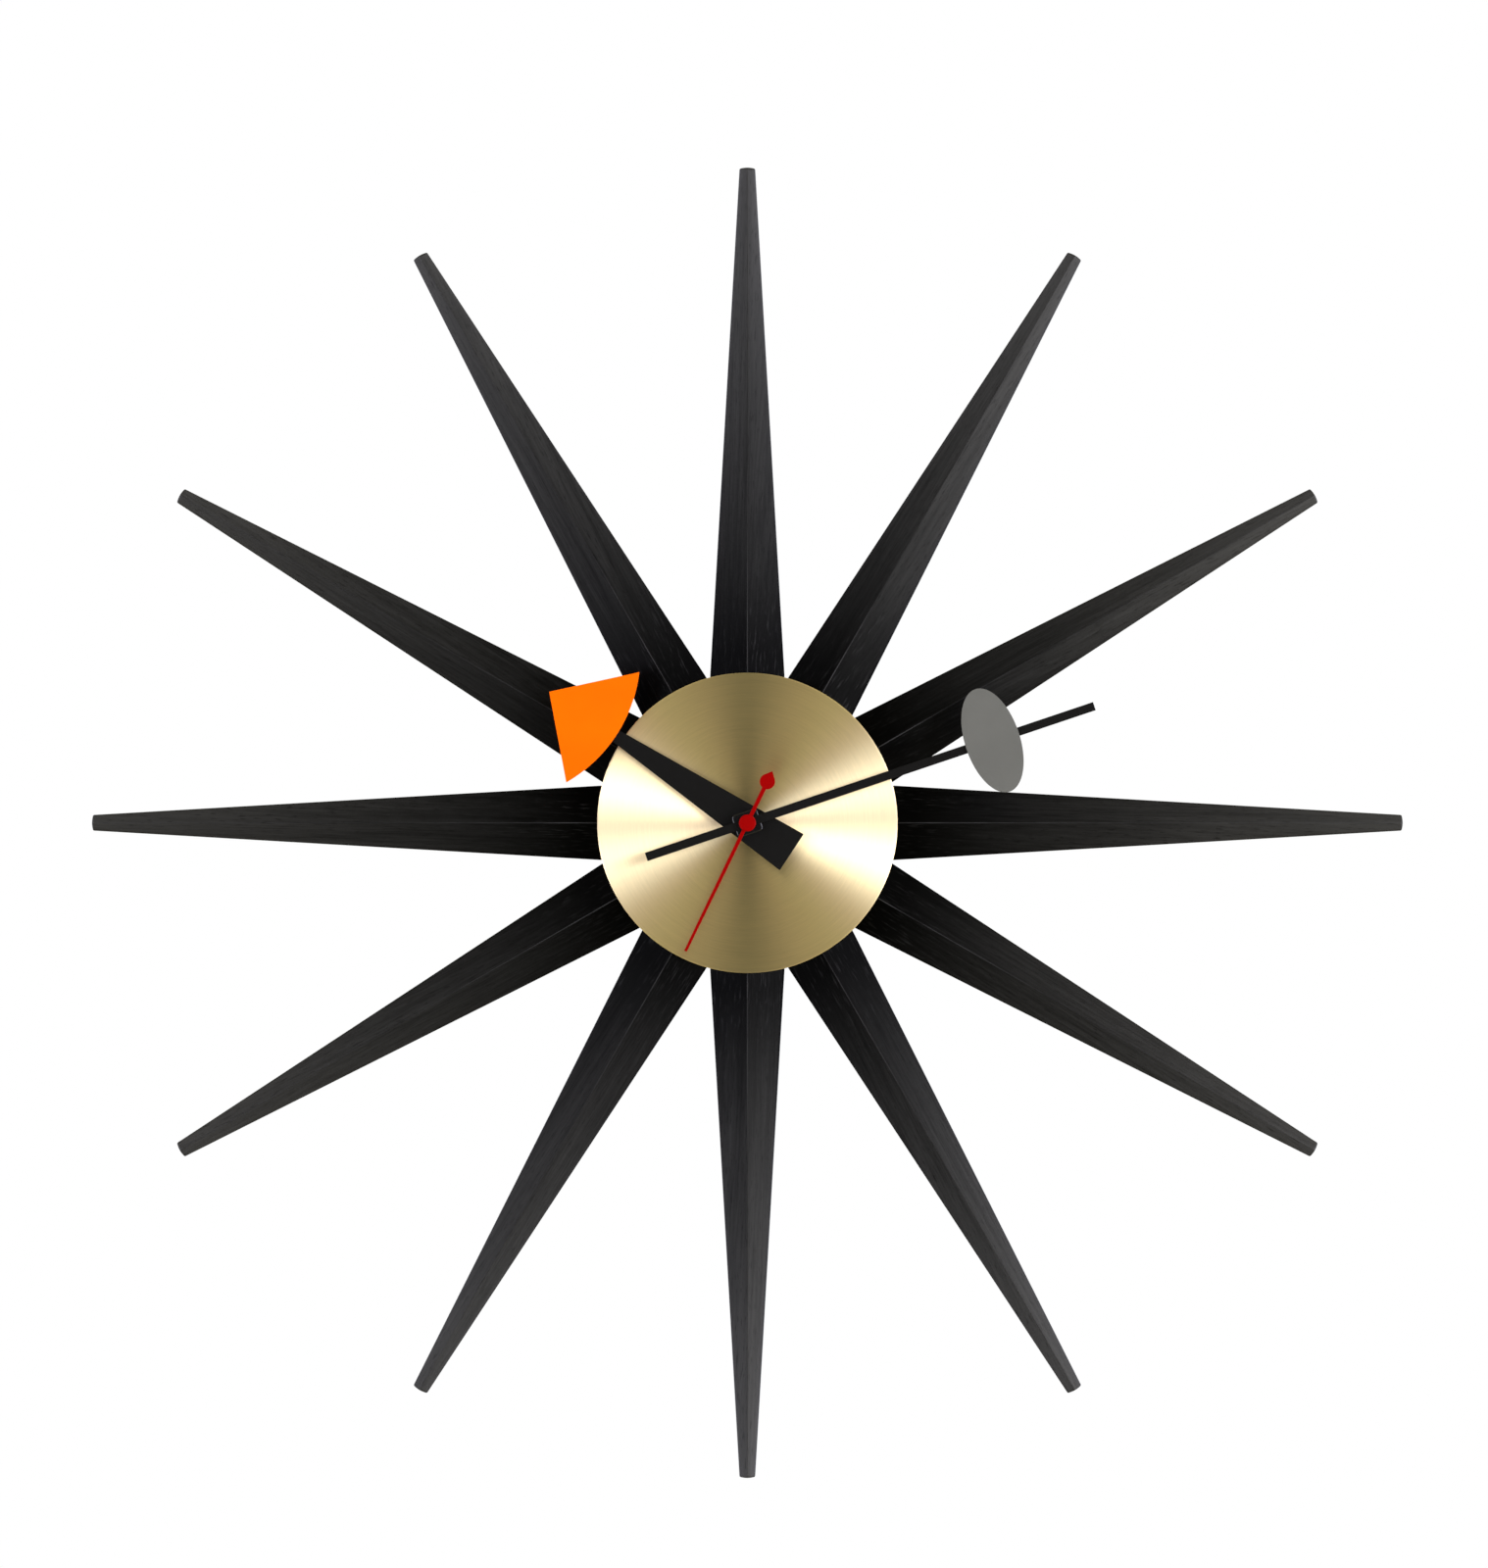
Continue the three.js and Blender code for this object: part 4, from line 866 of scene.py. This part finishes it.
def add_stud_nuts():
    for i, (x, y) in enumerate(stud_places()):
        node = f"dial_nut_{i + 1:02d}"
        rear, front = heights(node)
        hexagon = regular_polygon(6, STUD_NUT.across_flats)
        nut = plate(hexagon, rear, front, STUD_NUT.edge, [circle(STUD_NUT.hole)])
        place(f"stud_nut_{i + 1:02d}", moved(nut, x, y), "zinc_steel", node)


def add_drum():
    """Spun cup, open at the back, with the hanger's lugs and the screw holes."""
    rear, front = heights("hub_drum")
    inner = DRUM.radius - DRUM.wall
    floor = front - DRUM.front_wall
    cup = turned(filleted([
        (DRUM.radius, rear, 0.6 * MM), (DRUM.radius, front, DRUM.nose), (DRUM.bore, front, 0.2 * MM),
        (DRUM.bore, floor, 0.2 * MM), (inner, floor, 1.2 * MM), (inner, rear, 0.6 * MM)], 6), 160)
    lugs, holes = [], []
    for x in (-LUG.x, LUG.x):
        lugs.append(moved(rod(LUG.radius, LUG.rear, LUG.front, 0.3 * MM, 40), x, LUG.y))
        holes.append(moved(rod(LUG.hole, LUG.rear - MM, LUG.front + MM), x, LUG.y))
    holes += [moved(rod(DRUM.stud_hole, floor - MM, front + MM), x, y) for x, y in stud_places()]
    for i in range(RAY.count):
        hole = ray_screw_hole(inner - MM, DRUM.radius + MM)
        holes.append(moved(hole, turn=Matrix.Rotation(i * TURN / RAY.count, 4, "Z")))
    cup = boolean("UNION", cup, *lugs)
    cup = boolean("DIFFERENCE", cup, joined(holes))
    place("drum_shell", cup, "black_steel", "hub_drum")


def add_hanger():
    """Pressed plate with a keyhole, held by two screws."""
    rear, front = heights("hanger_plate")
    start = math.asin(HANGER.lower_edge / HANGER.radius)
    outline = arc(0, 0, HANGER.radius, start, math.pi - start, 72)
    mouth = math.asin(HANGER.slot_radius / HANGER.entry_radius)
    keyhole = arc(0, HANGER.slot_top, HANGER.slot_radius, 0, math.pi, 16)
    keyhole += arc(0, HANGER.entry, HANGER.entry_radius, RIGHT_ANGLE + mouth, RIGHT_ANGLE - mouth + TURN, 40)
    holes = [keyhole] + [circle(LUG.hole + GAP, side * LUG.x, LUG.y, 24) for side in (-1, 1)]
    hanger = plate(outline, rear, front, 0.2 * MM, holes)
    place("hanger", hanger, "zinc_steel", "hanger_plate")
    s = LUG_SCREW
    for i, side in enumerate((-1, 1)):
        node = f"hanger_screw_{i + 1:02d}"
        head_rear, point = heights(node)
        head_front = head_rear + s.head_length
        profile = filleted([(0, head_rear, 0), (s.head, head_rear, 0.5 * MM),
                            (s.head, head_front, 0.15 * MM), (s.shank, head_front, 0),
                            (s.shank, point, 0.3 * MM), (0, point, 0)])
        slot = (s.slot_width, s.slot_length, head_rear - MM, head_rear + s.slot_depth)
        screw = with_cross_slot(turned(profile, 40), *slot)
        place(f"lug_screw_{i + 1:02d}", moved(screw, side * LUG.x, LUG.y), "zinc_steel", node)


# ------------ movement

def add_case():
    """Moulded case with its gear room, battery bay and bushing."""
    rear, bushing_front = heights("movement_case")
    inside = CASE.half - CASE.wall
    floor = CASE.front - CASE.wall
    outline = rectangle(-CASE.half, CASE.half, -CASE.half, CASE.half, CASE.corner)
    shell = plate(outline, rear, CASE.front, 0.6 * MM)
    bushing = turned(filleted([(0, CASE.front - MM, 0), (CASE.bushing, CASE.front - MM, 0),
                               (CASE.bushing, bushing_front, 0.4 * MM), (0, bushing_front, 0)]), 48)
    room = plate(rectangle(-inside, inside, CASE.divider, inside, 1.8 * MM), rear - 2 * MM, floor, 0.4 * MM)
    bay = plate(rectangle(-inside, inside, -inside, CASE.bay_top, 1.2 * MM), rear - 2 * MM, floor, 0.4 * MM)
    bore = rod(CASE.bushing_bore, rear, bushing_front + MM)
    shell = boolean("DIFFERENCE", boolean("UNION", shell, bushing), room, bay, bore)
    place("case_shell", shell, "case_plastic", "movement_case")


def add_lid():
    """Flat lid with a sunk round field for the setting knob and a sunk panel beside it."""
    rear, front = heights("movement_lid")
    low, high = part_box("movement_lid")
    knob = box_middle("setting_knob")
    outline = rectangle(low.x, high.x, low.z - AXIS.z, high.z - AXIS.z, LID.corner)
    lid = plate(outline, rear, front, 0.3 * MM)
    floor = rear + LID.dish_depth
    dish = turned(filleted([(0, rear - MM, 0), (LID.dish, rear - MM, 0), (LID.dish_floor, floor, 0.2 * MM),
                            (0, floor, 0)]), 64)
    outline = rectangle(LID.panel_left, LID.panel_right, LID.panel_low, LID.panel_high, 2 * MM)
    panel = plate(outline, rear - MM, rear + LID.panel_depth, 0.1 * MM)
    stem_hole = rod(KNOB.stem + LID.stem_gap, rear - MM, front + MM, segments=50)
    lid = boolean("DIFFERENCE", lid, moved(dish, knob.x, knob.y), panel, moved(stem_hole, knob.x, knob.y))
    place("lid", lid, "case_plastic", "movement_lid")


def add_battery():
    """AA cell with its nub to the right."""
    low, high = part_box("battery_cell")
    left, right = low.x, high.x - CELL.nub_length
    left_pole, right_pole = left + CELL.left_sunk, right - CELL.right_sunk
    profile = filleted([
        (0, left_pole, 0), (CELL.left_pole, left_pole, 0), (CELL.left_rim, left, 0.1 * MM),
        (CELL.radius, left, 0.9 * MM), (CELL.radius, right, 0.9 * MM), (CELL.right_rim, right, 0.15 * MM),
        (CELL.right_pole, right_pole, 0), (CELL.nub, right_pole, 0.2 * MM),
        (CELL.nub, high.x, 0.5 * MM), (0, high.x, 0)])
    cell = turned(profile, 72)
    moved(cell, y=CELL.y, z=CELL.z, turn=Matrix.Rotation(RIGHT_ANGLE, 4, "Y"))
    place("aa_cell", cell, "cell_wrap", "battery_cell")


def soften(piece, edge=0.12 * MM):
    """Rounds a faceted piece's edges."""
    weld = piece.modifiers.new("weld", "WELD")
    weld.merge_threshold = SAME_POINT
    flat = piece.modifiers.new("coplanar faces", "DECIMATE")
    flat.decimate_type = "DISSOLVE"
    flat.angle_limit = math.radians(1)
    bevel = piece.modifiers.new("soft edges", "BEVEL")
    bevel.width = edge
    bevel.segments = 2
    bevel.limit_method = "ANGLE"
    bevel.angle_limit = math.radians(40)


def add_knob():
    """The fluted setting knob and its pinion, with a dished face and a finger bar across it."""
    shape = bmesh.new()
    shape.from_mesh(frame["nodes"]["setting_knob"].data)
    shape.transform(TO_DRAWING)
    centre = box_middle("setting_knob")
    rear, _ = heights("setting_knob")
    dish = turned(filleted([(0, rear - MM, 0), (KNOB.dish + 0.4 * MM, rear - MM, 0),
                            (KNOB.dish, rear + KNOB.depth, 0.25 * MM), (0, rear + KNOB.depth, 0)]), 64)
    half_bar = KNOB.bar / 2
    bar = block(-KNOB.dish, KNOB.dish, -half_bar, half_bar, rear + 0.1 * MM, rear + 2 * KNOB.depth, 0.1 * MM)
    knob = boolean("DIFFERENCE", finished(shape), moved(dish, centre.x, centre.y))
    knob = boolean("UNION", knob, moved(bar, centre.x, centre.y))
    soften(place("time_knob", knob, "gear_plastic", "setting_knob", body="setting_knob"))


def soften_cad_edges():
    """Rounds the edges of the small CAD pieces that are shown as they are."""
    for node in frame["nodes"].values():
        if not node.hide_render:
            soften(node)


# ------------ hands

def add_hour_hand():
    """Tapered bar with a flag whose inner side is part of a circle."""
    turn = direction("hour_hand_flag")
    corners = []
    for side, y in ((-1, -HOUR_BAR.tail), (1, -HOUR_BAR.tail), (1, HOUR_BAR.tip), (-1, HOUR_BAR.tip)):
        half = (HOUR_BAR.tail_width - HOUR_BAR.taper * (y + HOUR_BAR.tail)) / 2
        corners.append((side * half, y, 0.25 * MM))
    hole = circle(HOUR_BAR.hole, steps=40)
    bar = plate(filleted(corners), *heights("hour_hand_bar"), 0.1 * MM, [hole])
    place("hour_bar", bar, "hand_black", "hour_hand_bar", turn, "hour_train")

    rise = FLAG.shoulder - FLAG.nose
    radius = (FLAG.half_width ** 2 + rise ** 2) / (2 * rise)
    half_angle = math.asin(FLAG.half_width / radius)
    outline = arc(0, FLAG.nose + radius, radius, -RIGHT_ANGLE - half_angle, -RIGHT_ANGLE + half_angle, 48)
    flag = plate(outline + [(0, FLAG.corner)], *heights("hour_hand_flag"), 0.1 * MM)
    place("hour_flag", flag, "flag_orange", "hour_hand_flag", turn, "hour_train")


def add_minute_hand():
    """Straight bar that widens round its hole, an oval on its front and a hub plate behind it."""
    turn = direction("minute_hand_bar")
    half, boss = MINUTE_BAR.half_width, MINUTE_BAR.boss
    start = math.asin(half / boss)
    right = [(half, -MINUTE_BAR.tail)] + arc(0, 0, boss, -RIGHT_ANGLE + start, RIGHT_ANGLE - start, 20)
    right.append((half, MINUTE_BAR.tip))
    outline = right + [(-x, y) for x, y in reversed(right)]
    hole = circle(MINUTE_BAR.hole, steps=32)
    bar = plate(outline, *heights("minute_hand_bar"), 0.1 * MM, [hole])
    place("minute_bar", bar, "hand_black", "minute_hand_bar", turn, "minute_train")

    ellipse = [(x * OVAL.half_across, OVAL.centre + y * OVAL.half_along) for x, y in circle(1, steps=128)]
    oval = plate(ellipse, *heights("minute_hand_oval"), 0.1 * MM)
    place("minute_oval", oval, "oval_grey", "minute_hand_oval", turn, "minute_train")

    half_width, half_length = HUB_PLATE.width / 2, HUB_PLATE.length / 2
    outline = rectangle(-half_width, half_width, -half_length, half_length, HUB_PLATE.corner)
    hub = plate(outline, *heights("minute_hub_plate"), HUB_PLATE.edge, [hole], edge_steps=0)
    place("minute_hub", hub, "hand_black", "minute_hub_plate", turn, "minute_train", "hub_black")


def add_second_hand():
    """Needle, domed hub and leaf-shaped counterweight in one piece."""
    s = SECOND_HAND
    turn = direction("second_hand")
    needle = plate([(-s.hub_width / 2, -s.leaf), (s.hub_width / 2, -s.leaf), (s.tip_width / 2, s.tip),
                    (-s.tip_width / 2, s.tip)], s.rear, s.front, 0.12 * MM)
    tangent = math.acos(s.leaf_radius / (s.leaf_point - s.leaf))
    outline = arc(0, -s.leaf, s.leaf_radius, tangent - RIGHT_ANGLE, TURN - RIGHT_ANGLE - tangent, 40)
    leaf = plate(outline + [(0, -s.leaf_point)], s.rear, s.front, 0.12 * MM)
    hub = turned(filleted([(0, s.hub_rear, 0), (s.hub, s.hub_rear, 0.15 * MM),
                           (s.hub, s.hub_front, 0.5 * MM), (0, s.hub_front, 0)], 6), 64)
    bore = rod(s.bore, s.hub_rear - MM, s.front + 0.1 * MM, 0.05 * MM, 24)
    whole = boolean("DIFFERENCE", boolean("UNION", needle, leaf, hub), bore)
    place("second_needle", whole, "second_red", "second_hand", turn, "second_train")


# ------------ studio

def add_floor():
    """Wide floor below the clock that reflections and bounced light pass through."""
    shape = bmesh.new()
    bmesh.ops.create_circle(shape, cap_ends=True, segments=128, radius=FLOOR.radius)
    floor = add_object("floor", finished(shape))
    floor.location.z = -FLOOR.drop
    floor.visible_glossy = False
    floor.visible_diffuse = False
    floor.data.materials.append(painted_floor())


# Light from the studio by direction in the picture plane, in degrees above or below the horizontal. It is
# dim at the horizontal, brightest at 14 degrees, where the long soft boxes hang, and fades to a dim warm
# room straight above and below.
STUDIO = [
    (0, (0.2, 0.22, 0.8)),
    (14, (6.9, 7.0, 8.7)),
    (26, (2.6, 2.9, 3.8)),
    (36, (1.22, 1.08, 1.04)),
    (50, (0.93, 0.92, 0.64)),
    (70, (0.78, 0.72, 0.55)),
    (90, (0.28, 0.29, 0.21)),
]
DARK_SPOT = Sizes(inner=math.radians(10), outer=math.radians(45), light=0.1)
BEHIND = Sizes(start=math.radians(85), end=math.radians(130), light=0.35)
RIGHT_BIAS = 0.17
SIDE_BOX = Sizes(x=0.69, y=-0.72, z=-0.2, side=0.3, power=3)


def set_world():
    """White as the camera sees it, and for all other rays soft boxes with a dark spot straight in front."""
    world = bpy.data.worlds.new("studio")
    world.use_nodes = True
    bpy.context.scene.world = world
    tree = world.node_tree
    tree.nodes.clear()

    def node(kind, inputs=None, **settings):
        return wired(tree, kind, inputs or {}, settings)

    def math_node(operation, a, b=0.0):
        return node("Math", {0: a, 1: b}, operation=operation).outputs[0]

    axes = node("SeparateXYZ", {0: node("TexCoord").outputs["Generated"]}).outputs
    across, up = math_node("ABSOLUTE", axes[0]), math_node("ABSOLUTE", axes[2])
    share = math_node("DIVIDE", math_node("ARCTAN2", up, across), RIGHT_ANGLE)
    ramp = node("ValToRGB", {0: share})
    set_ramp(ramp, [(degrees / 90, colour) for degrees, colour in STUDIO])
    from_front = math_node("ARCCOSINE", math_node("MULTIPLY", axes[1], -1.0))
    spot = node("MapRange", {"Value": from_front, "From Min": DARK_SPOT.inner, "From Max": DARK_SPOT.outer,
                             "To Min": DARK_SPOT.light, "To Max": 1.0}, interpolation_type="SMOOTHSTEP")
    behind = node("MapRange", {"Value": from_front, "From Min": BEHIND.start, "From Max": BEHIND.end,
                               "To Min": 1.0, "To Max": BEHIND.light}, interpolation_type="SMOOTHSTEP")
    side = math_node("ADD", math_node("MULTIPLY", axes[0], RIGHT_BIAS), 1.0)
    strength = math_node("MULTIPLY", math_node("MULTIPLY", spot.outputs[0], behind.outputs[0]), side)
    soft = node("Background", {"Color": ramp.outputs[0], "Strength": strength})
    white = node("Background", {"Color": (1, 1, 1, 1)})
    seen = node("LightPath").outputs["Is Camera Ray"]
    chosen = node("MixShader", {0: seen, 1: soft.outputs[0], 2: white.outputs[0]})
    node("OutputWorld", {"Surface": chosen.outputs[0]})


def add_side_box():
    """Small soft box low on the right, which lights the right flanks of the upper right rays."""
    data = bpy.data.lights.new("side box", "AREA")
    data.size = SIDE_BOX.side
    data.energy = SIDE_BOX.power
    light = add_object("side box", data)
    light.location = (SIDE_BOX.x, SIDE_BOX.y, SIDE_BOX.z)
    light.rotation_euler = (AXIS - light.location).to_track_quat("-Z", "Y").to_euler()


def add_camera():
    """Camera straight in front, a little above and to the left of the hands' axis."""
    data = bpy.data.cameras.new("camera")
    data.sensor_width = CAMERA.sensor
    data.lens = CAMERA.sensor * CAMERA.distance / CAMERA.view_height
    camera = add_object("camera", data)
    camera.location = (AXIS.x - CAMERA.left, -CAMERA.distance, AXIS.z + CAMERA.above)
    camera.rotation_euler = (RIGHT_ANGLE, 0, 0)
    bpy.context.scene.camera = camera


bpy.context.scene.view_settings.view_transform = "Standard"
set_world()
add_side_box()
add_camera()
add_floor()
dress_frame()
add_rays()
add_dial()
add_stud_nuts()
add_drum()
add_hanger()
add_case()
add_lid()
add_battery()
add_knob()
add_hour_hand()
add_minute_hand()
add_second_hand()
soften_cad_edges()
